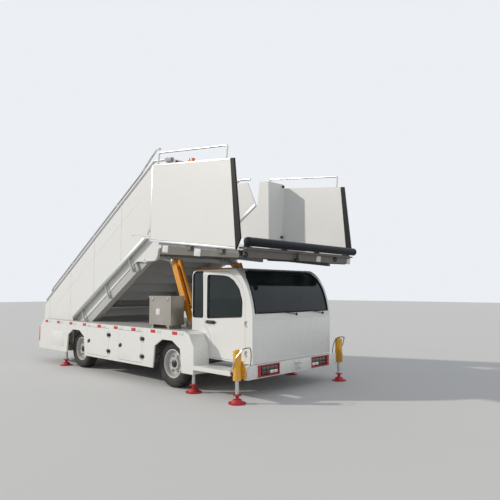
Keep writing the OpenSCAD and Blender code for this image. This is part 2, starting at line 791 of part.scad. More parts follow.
// One ear of a strut's head, hung from the lower flight's top cross-tube
module strut_ear(y) {
    a = slope_at(stringer_u - 120, stringer_low + 20);
    b = slope_at(stringer_u, stringer_low + 20);
    xz([[strut_head[0] + 40, strut_head[1] - 20], b, a, [strut_head[0] - 44, strut_head[1] - 10]],
        y - ear_t / 2, y + ear_t / 2);
    cross_bar(strut_head[0], strut_head[1], ear_r - 12, y - ear_t / 2, y + ear_t / 2);
}

// Bright capping rail over the lower flight's side panels
trim_w = 961;
trim_r = 24;

module lower_handrails() color("silver") at_axle() both_sides() {
    y = panel_y + panel_t / 2;
    low = slope_at(545, trim_w);
    high = slope_at(5293, trim_w);
    tube([[low[0], y, 1273], [low[0], y, low[1]], [high[0], y, high[1]], [-385, y, 3752]], trim_r);
    on_slope() for (u = [760 : 860 : 5060])
        translate([u, y, panel_w]) cylinder(r = 11, h = trim_w - panel_w);
}

// Upper flight: cheeks with low skirting, the top gussets and the platform's hinge pins
gusset = [[-1400, 2110], [-1325, 2050], [-767, 2042], [-700, 2078], [-662, 2150], [-640, 2240],
    [-600, 2262], [-362, 2262], [-362, 2330], [-415, 2440], [-1100, 2500]];
gusset_eye = [-1057, 2066];
cheek_top = 100;

module upper_cheeks() color("white") at_axle() both_sides() {
    difference() {
        union() {
            on_slope() block(70, top_u + 60, cheek_y, cheek_out, -cheek_w, cheek_top);
            xz(gusset, cheek_y, cheek_out);
            cross_bar(gusset_eye[0], gusset_eye[1], 40, cheek_y, cheek_out);
        }
        block(rest_x - 300, -4000, 0, 2000, -400, ground_gap - 10);
        cross_bar(gusset_eye[0], gusset_eye[1], 14, cheek_y - 10, cheek_out + 10);
    }
    cross_bar(plat_hinge[0], plat_hinge[1], hinge_r, lug_y[0] - 8, cheek_y + 10);
}

module upper_steps() color("silver") at_axle() {
    on_slope() {
        for (i = [0 : tread_count - 1]) translate([first_u + i * pitch, 0, 0]) rotate([0, slope, 0]) {
            block(0, run + 12, -tread_half, tread_half, -tread_t, 0);
            if (i > 0) block(0, 8, -tread_half, tread_half, -rise - 3, -tread_t + 2);
        }
        both_sides() block(first_u + 190, top_u - 20, runner_y[0], runner_y[1], -cheek_w, -cheek_w + 25);
    }
    top = slope_at(top_u, 0);
    translate([top[0], 0, top[1]]) rotate([0, landing_drop, 0]) {
        block(0, 620, -tread_half, tread_half, -30, 0);
        block(600, landing_front - top[0], -tread_half + 60, tread_half - 60, -30, 0);
        block(0, 8, -tread_half, tread_half, -rise - 4, -20);
    }
    block(-560, -500, -tread_half, tread_half, 2190, 2320);
}

// Thin handrails on the upper flight's cheeks
rail_r = 19;
rail_y_mid = cheek_y + cheek_t / 2;
rail_w_at = 1148;

module upper_handrails() color("silver") at_axle() for (s = [-1, 1]) on_side(s) {
    y = rail_y_mid;
    low = slope_at(726, rail_w_at);
    high = slope_at(4760, rail_w_at);
    link = [[-820, y + 20, 3950], [-520, 1130, 3930], [-185, 1300, 3850]];
    tube(concat([[-4690, y, 1400], [-4738, y, 1500], [low[0], y, low[1]], [high[0], y, high[1]],
        [-900, y, 3930]], s < 0 ? link : []), rail_r);
    on_slope() for (u = [780 : 1015 : 4200])
        translate([u, y, cheek_top]) cylinder(r = rail_r - 3, h = rail_w_at - cheek_top);
}

// Platform floor: the wide plate and its tongue between the walls
module platform_floor() color("silver") at_axle() on_platform() {
    block(wide_x - 10, side_len, -beam_y[1], beam_y[1], -40, 0);
    block(25, wide_x, -inner_y[1], inner_y[1], -40, 0);
}

// Frame under the platform: tapered side beams, cross-beams, the roll's ledge and the hinge lugs
module platform_frame() color("gray") at_axle() {
    on_platform() {
        both_sides() {
            xz([[beam_back, -185], [side_len, -105], [side_len, -40], [beam_back, -40]],
                beam_y[0], beam_y[1]);
            block(120, side_len, inner_y[0], inner_y[1], -150, -40);
            for (y = [380, 1180])
                block(side_len, roll_x - roll_r - pad_gap, y, y + 40, -92, 165);
            for (x = [900, 1600])
                block(x, x + 120, beam_y[1], side_y - pad_gap, -70, 40);
            for (x = [900, 1600])
                block(x, x + 120, beam_y[1] - 5, beam_y[1] + 5, -70, -45);
        }
        block(side_len - 60, side_len, -beam_y[1], beam_y[1], -92, -40);
        block(beam_back, beam_back + 60, -beam_y[1], beam_y[1], -150, -40);
        block(side_len, roll_x - 10, -beam_y[1], beam_y[1], 18, 44);
        block(side_len - 5, side_len + 20, -beam_y[1], beam_y[1], -92, -45);
    }
    both_sides() difference() {
        union() {
            cross_bar(plat_hinge[0], plat_hinge[1], 45, lug_y[0], lug_y[1]);
            on_platform() block(-40, wide_x - 15, lug_y[0], lug_y[1], -60, -20);
            on_platform() block(120, 190, inner_y[1] - 10, lug_y[1], -60, -40);
        }
        cross_bar(plat_hinge[0], plat_hinge[1], hinge_r + pin_gap, lug_y[0] - 10, lug_y[1] + 10);
    }
}

// Inner walls beside the stairs and the returns out to the side panels
wall_top = [257, 3588];

module platform_walls() color("white") at_axle() both_sides() {
    xz([plat_at(170, foot_gap), plat_at(600, foot_gap), [wall_top[0], wall_top[1]], [32, 3612],
        [-22, 3180], [-60, 3125], [-560, 2815], [-560, 2640], [-160, 2400]], wall_y[0], wall_y[1]);
    xz([plat_at(490, foot_gap), plat_at(524, foot_gap), [wall_top[0], wall_top[1]],
        [wall_top[0] - 25, wall_top[1]]], wall_y[1] - 7, side_y - 15);
}

// Sliding side panels with their guide tubes
panel_front = side_len - 264;
panel_back = -14;
guide_h = 57;
guide_z = 44;

module slide_panel() {
    on_platform() {
        xz([[panel_back, 0], [side_len, 0], [panel_front, side_h], [-128, side_h]],
            side_y, side_y + side_t);
        difference() {
            block(-540, panel_back, side_y, side_y + side_t, guide_z, guide_z + guide_h);
            block(-530, panel_back + 10, side_y + side_t - 10, side_y + side_t + 1,
                guide_z + guide_h / 3, guide_z + 2 * guide_h / 3);
        }
    }
}

module slide_panel_right() color("white") at_axle() on_side(-1) slide_panel();

module slide_panel_left() color("white") at_axle() on_side(1) slide_panel();

module panel_rail() {
    y = side_y + side_t / 2;
    on_platform() tube([[30, y, side_h], [30, y, side_h + 172], [48, y, side_h + 190],
        [1632, y, side_h + 190], [1650, y, side_h + 172], [1650, y, side_h]], rail_r - 3);
}

module panel_rail_right() color("silver") at_axle() on_side(-1) panel_rail();

module panel_rail_left() color("silver") at_axle() on_side(1) panel_rail();

module panel_seal() {
    on_platform() xz([[side_len, 0], [side_len + 69, 160], [panel_front + 73, side_h],
        [panel_front, side_h]], side_y - 2, side_y + side_t + 2);
}

module panel_seal_right() color("black") at_axle() on_side(-1) panel_seal();

module panel_seal_left() color("black") at_axle() on_side(1) panel_seal();

roll_half = side_y - 7;

module front_roll() color("black") at_axle() on_platform() {
    translate([roll_x, 0, roll_z]) rotate([90, 0, 0]) rotate_extrude()
        polygon([[0, -roll_half], [30, -roll_half], [roll_r - 10, 14 - roll_half],
            [roll_r, 34 - roll_half], [roll_r, roll_half - 34], [roll_r - 10, roll_half - 14],
            [30, roll_half], [0, roll_half]]);
}

// Lift struts: inner legs pinned to the deck, and sleeves that slide up them
sleeve_len = 900;
leg_top = 1075;
barrel_at = 132;

module lift_legs() color("orange") at_axle() both_sides() {
    difference() {
        union() {
            on_strut() block(20, leg_top, strut_y - 34, strut_y + 34, -40, 40);
            on_strut() block(leg_top - 60, leg_top, strut_y - 37 + pad_gap, strut_y + 37 - pad_gap,
                -52 + pad_gap, 52 - pad_gap);
            cross_bar(strut_foot[0], strut_foot[1], ear_r - 8, strut_y - strut_half, strut_y + strut_half);
            on_strut() block(40, 80, strut_y - 20, strut_y + 20, -barrel_at - 20, 0);
            on_strut() translate([50, strut_y, -barrel_at]) rotate([0, 90, 0])
                cylinder(r = 18, h = leg_top - 60);
        }
        cross_bar(strut_foot[0], strut_foot[1], strut_pin_r + pin_gap, strut_y - 100, strut_y + 100);
    }
}

module lift_sleeves() color("orange") at_axle() both_sides() {
    difference() {
        union() {
            on_strut() block(strut_len - sleeve_len, strut_len - 30, strut_y - 45, strut_y + 45, -60, 60);
            cross_bar(strut_head[0], strut_head[1], ear_r, strut_y - strut_half, strut_y + strut_half);
            on_strut() translate([strut_len - sleeve_len + 20, strut_y, -barrel_at]) rotate([0, 90, 0])
                cylinder(r = 36, h = sleeve_len - 60);
            on_strut() block(strut_len - 140, strut_len - 60, strut_y - 20, strut_y + 20, -barrel_at, -50);
        }
        on_strut() block(strut_len - sleeve_len - 1, strut_len - 58, strut_y - 37, strut_y + 37, -52, 52);
        on_strut() translate([strut_len - sleeve_len, strut_y, -barrel_at]) rotate([0, 90, 0])
            cylinder(r = 18 + pad_gap, h = sleeve_len - 50);
        cross_bar(strut_head[0], strut_head[1], head_hole_r, strut_y - 100, strut_y + 100);
    }
}

chassis_frame();
deck();
skirt_right();
skirt_left();
locker_boxes();
bumper();
lamps();
cab_shell();
cab_glass();
dashboard();
seats();
power_unit();
toolbox();
front_axle();
rear_axle();
jack_bodies();
locker_door_front_right();
locker_door_rear_right();
locker_door_front_left();
locker_door_rear_left();
cab_door_right();
cab_door_left();
door_glass_right();
door_glass_left();
knuckle_right();
knuckle_left();
tyre_front_right();
tyre_front_left();
tyre_rear_right();
tyre_rear_left();
rim_front_right();
rim_front_left();
rim_rear_right();
rim_rear_left();
jack_legs_front();
jack_legs_middle();
jack_legs_rear();
lower_side_panels();
lower_steps();
lower_handrails();
upper_cheeks();
upper_steps();
upper_handrails();
platform_floor();
platform_frame();
platform_walls();
slide_panel_right();
slide_panel_left();
panel_rail_right();
panel_rail_left();
panel_seal_right();
panel_seal_left();
front_roll();
lift_legs();
lift_sleeves();
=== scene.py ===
"""Looks of the mobile aircraft stairs: finishes, small fittings, tyres and seats over the frame."""

import logging
import math
from dataclasses import dataclass, field
from enum import Enum
from typing import Any, Callable, Iterable, Sequence

import bmesh
import bpy
from mathutils import Matrix, Vector


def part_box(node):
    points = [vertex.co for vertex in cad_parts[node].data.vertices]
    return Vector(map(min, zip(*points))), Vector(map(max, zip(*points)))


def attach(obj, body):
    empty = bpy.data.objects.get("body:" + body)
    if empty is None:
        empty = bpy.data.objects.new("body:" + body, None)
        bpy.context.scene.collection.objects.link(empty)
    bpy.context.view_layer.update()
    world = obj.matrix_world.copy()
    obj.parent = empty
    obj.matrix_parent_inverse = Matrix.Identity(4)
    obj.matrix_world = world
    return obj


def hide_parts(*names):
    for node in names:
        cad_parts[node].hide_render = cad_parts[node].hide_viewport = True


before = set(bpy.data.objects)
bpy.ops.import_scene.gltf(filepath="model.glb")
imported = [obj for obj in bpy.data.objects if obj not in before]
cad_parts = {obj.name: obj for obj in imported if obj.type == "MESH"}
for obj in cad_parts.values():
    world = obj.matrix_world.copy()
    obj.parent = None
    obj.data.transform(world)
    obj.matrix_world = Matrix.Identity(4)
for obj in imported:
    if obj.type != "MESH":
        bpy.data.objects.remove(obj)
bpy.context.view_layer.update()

log = logging.getLogger("stairs")

Point = tuple[float, float, float]
Flat = tuple[float, float]

# Edges sharper than the first angle are rounded, and than the second aren't smoothed over
ROUNDED_FROM = math.radians(25)
CREASED_FROM = math.radians(32)

# The front axle's X in the frame: lengths along the vehicle are given from it, in metres
AXLE_X = sum((corner.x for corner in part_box("tyre_front_left")), 0.0) / 2


def ahead(x: float, y: float, z: float) -> Point:
    """A point of the frame whose X is given ahead of the front axle."""
    return (AXLE_X + x, y, z)


def tilted(x: float, z: float, angle: float) -> Matrix:
    """A frame whose origin is ahead of the axle and whose X is raised by an angle in degrees."""
    return Matrix.Translation(ahead(x, 0, z)) @ Matrix.Rotation(-math.radians(angle), 4, "Y")


# Local frames: the vehicle from its front axle, the flights, the drooping platform and a strut
VEHICLE = Matrix.Translation((AXLE_X, 0, 0))
FLIGHT_FOOT: Flat = (-4.720, 0.219)
SLOPE = 31.2
STRUT_FOOT: Flat = (-0.020, 0.980)
FLIGHT = tilted(*FLIGHT_FOOT, SLOPE)
PLATFORM = tilted(-0.331, 2.325, -7.0)
STRUT = tilted(*STRUT_FOOT, 114.11)


class Side(Enum):
    """A side of the vehicle, with the sign of its Y."""

    RIGHT = -1
    LEFT = 1

    @property
    def label(self) -> str:
        """The side's name as the nodes and bodies spell it."""
        return self.name.lower()


class Grain(Enum):
    """Which way a brushed finish runs, as the stretch of its noise along X, Y and Z."""

    ALONG_X = (3.0, 260.0, 260.0)
    ALONG_Z = (260.0, 260.0, 3.0)
    ALL_WAYS = (60.0, 60.0, 60.0)


class Level:
    """A number that varies over a surface, used in Python arithmetic."""

    def __init__(self, sheet: "Sheet", socket: bpy.types.NodeSocket) -> None:
        """Keeps the sheet that the socket belongs to."""
        self.sheet = sheet
        self.socket = socket

    def _math(self, operation: str, first: Any, second: Any = None) -> "Level":
        """Adds one Math node.

        Args:
            operation: Blender's name for the operation.
            first: a level or a number.
            second: a level, a number or nothing.

        Returns:
            The level that the node gives.
        """
        node = self.sheet.node("ShaderNodeMath", {"operation": operation}, {0: first, 1: second})
        return Level(self.sheet, node.outputs[0])

    def __add__(self, other: Any) -> "Level":
        """The sum."""
        return self._math("ADD", self, other)

    def __radd__(self, other: Any) -> "Level":
        """The sum, with a number first."""
        return self._math("ADD", other, self)

    def __sub__(self, other: Any) -> "Level":
        """The difference."""
        return self._math("SUBTRACT", self, other)

    def __rsub__(self, other: Any) -> "Level":
        """The difference, with a number first."""
        return self._math("SUBTRACT", other, self)

    def __mul__(self, other: Any) -> "Level":
        """The product."""
        return self._math("MULTIPLY", self, other)

    def __rmul__(self, other: Any) -> "Level":
        """The product, with a number first."""
        return self._math("MULTIPLY", other, self)

    def __mod__(self, other: Any) -> "Level":
        """The remainder, never negative."""
        return self._math("FLOORED_MODULO", self, other)

    def __gt__(self, other: Any) -> "Level":
        """One where this level is above the other."""
        return self._math("GREATER_THAN", self, other)

    def __abs__(self) -> "Level":
        """The size without its sign."""
        return self._math("ABSOLUTE", self)

    def least(self, other: Any) -> "Level":
        """The lower of two levels."""
        return self._math("MINIMUM", self, other)

    def step(self, low: float, high: float) -> "Level":
        """Rises smoothly from nought at low to one at high, or falls where low is above high.

        Args:
            low: the level that gives nought.
            high: the level that gives one.

        Returns:
            A level from nought to one.
        """
        ends = {0: self, 1: min(low, high), 2: max(low, high)}
        ends |= {3: 0.0, 4: 1.0} if low < high else {3: 1.0, 4: 0.0}
        node = self.sheet.node("ShaderNodeMapRange", {"interpolation_type": "SMOOTHSTEP"}, ends)
        return Level(self.sheet, node.outputs[0])


class Sheet:
    """The node sheet of one material."""

    def __init__(self, name: str) -> None:
        """Starts an empty material with its shader."""
        self.material = bpy.data.materials.new(name)
        self.material.use_nodes = True
        self.tree = self.material.node_tree
        self.shader = self.tree.nodes["Principled BSDF"]
        self.place = self.node("ShaderNodeTexCoord").outputs["Object"]

    def node(self, kind: str, settings: dict[str, Any] | None = None,
             inputs: dict[Any, Any] | None = None) -> bpy.types.Node:
        """Adds a node.

        Args:
            kind: the node's type.
            settings: properties that are set first.
            inputs: values, levels or sockets by input name or number.

        Returns:
            The new node.
        """
        made = self.tree.nodes.new(kind)
        for key, value in (settings or {}).items():
            setattr(made, key, value)
        for key, value in (inputs or {}).items():
            self._feed(made.inputs[key], value)
        return made

    def _feed(self, socket: bpy.types.NodeSocket, value: Any) -> None:
        """Links a level or socket to an input, or sets its value."""
        if isinstance(value, Level):
            self.tree.links.new(value.socket, socket)
        elif isinstance(value, bpy.types.NodeSocket):
            self.tree.links.new(value, socket)
        elif value is not None:
            socket.default_value = value

    def axes(self) -> tuple[Level, Level, Level]:
        """The place on the object along X, Y and Z, in metres."""
        split = self.node("ShaderNodeSeparateXYZ", None, {0: self.place})
        return tuple(Level(self, out) for out in split.outputs)

    def up(self) -> Level:
        """How far the surface faces up, from minus one to one."""
        normal = self.node("ShaderNodeNewGeometry").outputs["Normal"]
        split = self.node("ShaderNodeSeparateXYZ", None, {0: normal})
        return Level(self, split.outputs[2])

    def noise(self, scale: float, detail: float = 3.0,
              stretch: Sequence[float] | None = None) -> Level:
        """A soft random level.

        Args:
            scale: cells to a metre.
            detail: octaves of finer noise.
            stretch: how much faster it varies along X, Y and Z.

        Returns:
            A level around one half.
        """
        place = self.place
        if stretch is not None:
            settings = {"operation": "MULTIPLY"}
            place = self.node("ShaderNodeVectorMath", settings, {0: place, 1: stretch}).outputs[0]
        made = self.node("ShaderNodeTexNoise", None,
                         {"Vector": place, "Scale": scale, "Detail": detail})
        return Level(self, made.outputs[0])

    def blend(self, level: Level, low: Any, high: Any) -> bpy.types.NodeSocket:
        """Mixes two colours.

        Args:
            level: nought for the first colour and one for the second.
            low: the first colour or socket.
            high: the second colour or socket.

        Returns:
            The colour socket.
        """
        colours = [c + (1.0,) if isinstance(c, tuple) else c for c in (low, high)]
        made = self.node("ShaderNodeMix", {"data_type": "RGBA"},
                         {0: level, 6: colours[0], 7: colours[1]})
        return made.outputs[2]

    def relief(self, level: Level, depth: float, strength: float = 1.0) -> None:
        """Feeds the shader's normal from a height.

        Args:
            level: the height, from nought to one.
            depth: metres between nought and one.
            strength: how much of it shows.
        """
        bump = self.node("ShaderNodeBump", None,
                         {"Height": level, "Distance": depth, "Strength": strength})
        self.shade({"Normal": bump.outputs[0]})

    def shade(self, inputs: dict[str, Any]) -> bpy.types.Material:
        """Sets the shader's own sockets and returns the material."""
        for key, value in inputs.items():
            colour = value + (1.0,) if isinstance(value, tuple) and len(value) == 3 else value
            self._feed(self.shader.inputs[key], colour)
        return self.material


@dataclass(frozen=True)
class Enamel:
    """Sprayed gloss paint with road dust near the ground, faint streaks and a few chips."""

    name: str
    colour: Point
    dust: Point = (0.42, 0.38, 0.32)
    dust_top: float = 0.62
    dust_share: float = 0.16
    gloss: float = 0.24
    coat: float = 0.4
    chips: float = 0.0
    bare: Point = (0.10, 0.07, 0.05)

    def make(self) -> bpy.types.Material:
        """The finished material."""
        sheet = Sheet(self.name)
        _, _, height = sheet.axes()
        cloud = sheet.noise(2.3, 4.0)
        streaks = sheet.noise(1.0, 3.0, (9.0, 9.0, 0.7)).step(0.52, 0.78)
        low = height.step(self.dust_top, 0.25) * cloud.step(0.25, 0.75)
        dirt = (low + streaks * 0.35).least(1.0) * self.dust_share
        colour = sheet.blend(dirt, self.colour, self.dust)
        rough = self.gloss + dirt * 0.5 + cloud * 0.06
        if self.chips > 0:
            chipped = sheet.noise(34.0, 5.0).step(0.70 - 0.1 * self.chips, 0.74 - 0.1 * self.chips)
            colour = sheet.blend(chipped, colour, self.bare)
            rough = rough + chipped * 0.35
        sheet.relief(sheet.noise(5.0, 1.0) + sheet.noise(420.0, 1.0) * 0.02, 0.0016)
        return sheet.shade({"Base Color": colour, "Roughness": rough, "Coat Weight": self.coat,
                            "Coat Roughness": 0.12, "IOR": 1.5})


@dataclass(frozen=True)
class BrushedMetal:
    """Bare metal with a brushed grain and smudges."""

    name: str
    colour: Point
    grain: Grain
    rough: float = 0.26
    tarnish: Point = (0.38, 0.37, 0.35)

    def make(self) -> bpy.types.Material:
        """The finished material."""
        sheet = Sheet(self.name)
        lines = sheet.noise(1.0, 3.0, self.grain.value)
        smudge = sheet.noise(4.0, 4.0).step(0.45, 0.8)
        colour = sheet.blend(smudge * 0.35 + (lines - 0.5) * 0.25, self.colour, self.tarnish)
        sheet.relief(lines, 0.0002, 0.6)
        return sheet.shade({"Base Color": colour, "Metallic": 1.0,
                            "Roughness": self.rough + smudge * 0.14 + (lines - 0.5) * 0.12})


@dataclass(frozen=True)
class Moulded:
    """Moulded plastic or rubber with a fine texture and dust on what faces up."""

    name: str
    colour: Point
    rough: float = 0.5
    dust: float = 0.12
    texture: float = 900.0
    shine: float = 0.5

    def make(self) -> bpy.types.Material:
        """The finished material."""
        sheet = Sheet(self.name)
        cloud = sheet.noise(6.0, 4.0)
        lying = (sheet.up().step(0.1, 1.0) * 0.7 + 0.3) * cloud.step(0.3, 0.8) * self.dust
        sheet.relief(sheet.noise(self.texture, 2.0), 0.0003, 0.5)
        return sheet.shade({"Base Color": sheet.blend(lying, self.colour, (0.45, 0.42, 0.37)),
                            "Roughness": self.rough + lying * 0.8,
                            "Specular IOR Level": self.shine})


@dataclass(frozen=True)
class TyreRubber:
    """Black tyre rubber, browned by road dust, with fine rings moulded in it."""

    name: str

    def make(self) -> bpy.types.Material:
        """The finished material."""
        sheet = Sheet(self.name)
        cloud = sheet.noise(7.0, 5.0)
        colour = sheet.blend(cloud.step(0.35, 0.8) * 0.4, (0.018, 0.018, 0.018), (0.14, 0.12, 0.10))
        sheet.relief(sheet.noise(260.0, 4.0), 0.0006, 0.7)
        return sheet.shade({"Base Color": colour, "Roughness": 0.62 + cloud * 0.3})


@dataclass(frozen=True)
class Chequered:
    """Raised lozenge tread plate, polished on its crests and grey between."""

    name: str
    cell: float = 0.036

    def make(self) -> bpy.types.Material:
        """The finished material."""
        sheet = Sheet(self.name)
        along, across, _ = sheet.axes()
        one = (along * (1 / self.cell)) % 1.0 - 0.5
        two = (across * (1 / self.cell)) % 1.0 - 0.5
        odd = ((along * (0.5 / self.cell)) % 1.0 > 0.5) * 1.0
        even = ((across * (0.5 / self.cell)) % 1.0 > 0.5) * 1.0
        turn = abs(odd - even)
        down, rise = one + two, one - two
        longways = down * down * 0.55 + rise * rise * 6.0
        crossways = down * down * 6.0 + rise * rise * 0.55
        crest = (longways * turn + crossways * (1 - turn)).step(0.34, 0.14)
        crest = crest * sheet.up().step(0.6, 0.9)
        worn = sheet.noise(9.0, 4.0)
        colour = sheet.blend(crest, (0.36, 0.36, 0.36), (0.74, 0.74, 0.73))
        grime = worn.step(0.5, 0.85) * 0.4 * (1 - crest)
        colour = sheet.blend(grime, colour, (0.22, 0.20, 0.18))
        sheet.relief(crest, 0.0012)
        return sheet.shade({"Base Color": colour, "Metallic": 0.9,
                            "Roughness": 0.42 - crest * 0.12 + worn * 0.1})


@dataclass(frozen=True)
class Glazing:
    """Dark tinted window glass with faint dust, whose near-black colour and high alpha also paint
    the shade of the cab's interior onto the panes.
    """

    name: str
    # near-black and mostly opaque: painted shade of the cab's interior over the glass's tint
    colour: Point = (0.006, 0.015, 0.017)
    alpha: float = 0.80

    def make(self) -> bpy.types.Material:
        """The finished material."""
        sheet = Sheet(self.name)
        film = sheet.noise(2.0, 4.0).step(0.4, 0.9)
        sheet.shade({"Base Color": sheet.blend(film * 0.03, self.colour, (0.5, 0.5, 0.48)),
                     "Roughness": 0.03 + film * 0.06, "Alpha": self.alpha + film * 0.05})
        return sheet.shade({"IOR": 1.52, "Specular IOR Level": 0.45})


@dataclass(frozen=True)
class Lens:
    """Clear or coloured lamp lens over a reflector, ribbed from top to bottom."""

    name: str
    colour: Point
    rib: float = 0.006
    metallic: float = 0.35

    def make(self) -> bpy.types.Material:
        """The finished material."""
        sheet = Sheet(self.name)
        _, across, height = sheet.axes()
        ribs = abs((across * (1 / self.rib)) % 1.0 - 0.5) * 2.0
        bars = abs((height * (0.5 / self.rib)) % 1.0 - 0.5) * 2.0
        sheet.relief(ribs * 0.6 + bars * 0.4, 0.001, 0.8)
        colour = sheet.blend(ribs * 0.3, self.colour, tuple(0.55 * c for c in self.colour))
        return sheet.shade({"Base Color": colour, "Metallic": self.metallic, "Roughness": 0.12,
                            "Coat Weight": 1.0, "Coat Roughness": 0.03})


@dataclass(frozen=True)
class JackSteel:
    """A jack leg: a bright rod above a foot that is painted red."""

    name: str
    red_top: float = 0.128
    red: Point = (0.46, 0.02, 0.025)
    steel: Point = (0.62, 0.61, 0.59)

    def make(self) -> bpy.types.Material:
        """The finished material."""
        sheet = Sheet(self.name)
        _, _, height = sheet.axes()
        painted = height.step(self.red_top + 0.002, self.red_top)
        worn = sheet.noise(16.0, 4.0)
        chips = worn.step(0.62, 0.70) * painted
        lines = sheet.noise(1.0, 2.0, Grain.ALONG_Z.value)
        steel = sheet.blend(worn.step(0.4, 0.8) * 0.4, self.steel, (0.30, 0.28, 0.25))
        red = sheet.blend(chips, self.red, (0.16, 0.10, 0.08))
        sheet.relief(lines * 0.4 + worn * 0.6, 0.0004, 0.6)
        return sheet.shade({"Base Color": sheet.blend(painted, steel, red),
                            "Metallic": 0.85 * (1 - painted),
                            "Roughness": 0.26 + painted * 0.14 + worn * 0.14})


@dataclass(frozen=True)
class Vinyl:
    """Seat vinyl with a pebbled grain and a soft sheen."""

    name: str
    colour: Point
    grain: float = 420.0

    def make(self) -> bpy.types.Material:
        """The finished material."""
        sheet = Sheet(self.name)
        cells = sheet.node("ShaderNodeTexVoronoi", {"feature": "DISTANCE_TO_EDGE"},
                           {"Vector": sheet.place, "Scale": self.grain})
        pebble = Level(sheet, cells.outputs[0]).step(0.0, 0.25)
        worn = sheet.noise(8.0, 3.0).step(0.45, 0.8)
        sheet.relief(pebble, 0.0004, 0.7)
        return sheet.shade({"Base Color": sheet.blend(worn * 0.3, self.colour, (0.16, 0.15, 0.14)),
                            "Roughness": 0.52 + worn * 0.12, "Sheen Weight": 0.15})


def mix_finishes() -> dict[str, bpy.types.Material]:
    """Makes every finish of the vehicle once.

    Returns:
        The materials by name.
    """
    table = [
        Enamel("white_enamel", (0.80, 0.80, 0.775)),
        Enamel("white_panel", (0.80, 0.80, 0.78), dust_share=0.10, gloss=0.30, coat=0.3),
        Enamel("frame_enamel", (0.035, 0.036, 0.038), dust_share=0.5, dust_top=0.9, gloss=0.45,
               coat=0.05, chips=0.5),
        # dark brownish grey: the shade and warm bounce light under the platform painted into the
        # beams' colour
        Enamel("beam_grey_painted_shade", (0.15, 0.14, 0.125), dust_share=0.3, gloss=0.45, coat=0.05),
        Enamel("stringer_grey", (0.50, 0.50, 0.49), dust_share=0.3, gloss=0.4, coat=0.1),
        Enamel("deck_enamel", (0.46, 0.46, 0.44), dust_share=0.5, dust_top=1.6, gloss=0.5,
               coat=0.05, chips=0.3),
        Enamel("orange_enamel", (0.83, 0.34, 0.012), dust_share=0.2, gloss=0.32, chips=0.55),
        Enamel("jack_enamel", (0.85, 0.42, 0.015), dust_share=0.25, gloss=0.3, chips=0.5),
        Enamel("lamp_red_enamel", (0.42, 0.008, 0.018), dust_share=0.12, gloss=0.22),
        Enamel("rim_enamel", (0.50, 0.50, 0.49), dust_share=0.45, dust_top=0.9, gloss=0.35),
        Enamel("tape_red", (0.62, 0.012, 0.02), dust_share=0.05, gloss=0.3),
        Enamel("tape_white", (0.68, 0.69, 0.68), dust_share=0.05, gloss=0.22),
        Enamel("beacon_orange", (0.85, 0.16, 0.01), dust_share=0.05, gloss=0.12, coat=1.0),
        BrushedMetal("handrail_steel", (0.66, 0.655, 0.64), Grain.ALL_WAYS, 0.24),
        BrushedMetal("trim_aluminium", (0.70, 0.70, 0.69), Grain.ALONG_X, 0.34),
        BrushedMetal("toolbox_steel", (0.43, 0.40, 0.36), Grain.ALONG_Z, 0.33),
        BrushedMetal("cylinder_chrome", (0.74, 0.74, 0.74), Grain.ALONG_Z, 0.12),
        BrushedMetal("bolt_steel", (0.42, 0.41, 0.39), Grain.ALL_WAYS, 0.38),
        BrushedMetal("zinc_coat", (0.42, 0.43, 0.43), Grain.ALL_WAYS, 0.45),
        Moulded("black_plastic", (0.012, 0.012, 0.013), 0.42),
        Moulded("gasket_rubber", (0.006, 0.006, 0.007), 0.55, 0.04, 500.0, 0.25),
        Moulded("roll_rubber", (0.003, 0.004, 0.009), 0.45, 0.02, 300.0, 0.25),
        Moulded("dash_plastic", (0.030, 0.030, 0.032), 0.6, 0.2),
        Moulded("grey_plastic", (0.30, 0.30, 0.30), 0.45),
        Moulded("sign_white", (0.74, 0.74, 0.72), 0.35, 0.06),
        TyreRubber("tyre_rubber"),
        Chequered("chequer_plate"),
        Glazing("dark_glass_painted_shade"),
        Lens("lens_clear", (0.86, 0.86, 0.82)),
        Lens("lens_smoked", (0.10, 0.10, 0.10)),
        Lens("lens_amber", (0.10, 0.028, 0.004)),
        JackSteel("jack_steel"),
        Vinyl("seat_vinyl", (0.045, 0.045, 0.05)),
    ]
    return {finish.name: finish.make() for finish in table}


# The record's material slot for each finish; a piece looks its slot up here unless it names
# another, but doesn't keep it
SLOTS = {
    "black_plastic": "dash_plastic", "gasket_rubber": "black_rubber", "bolt_steel": "chrome",
    "white_enamel": "white_paint", "white_panel": "white_paint", "sign_white": "white_paint",
    "grey_plastic": "white_paint", "lens_clear": "white_paint", "tape_white": "white_paint",
    "tape_red": "lamp_red", "handrail_steel": "stainless", "beam_grey_painted_shade": "frame_grey",
    "trim_aluminium": "tread_aluminium", "zinc_coat": "tread_aluminium",
    "jack_enamel": "orange_paint", "orange_enamel": "orange_paint",
    "beacon_orange": "orange_paint", "tyre_rubber": "tyre", "seat_vinyl": "seat_cover"}
FINISHES: dict[str, bpy.types.Material] = {}


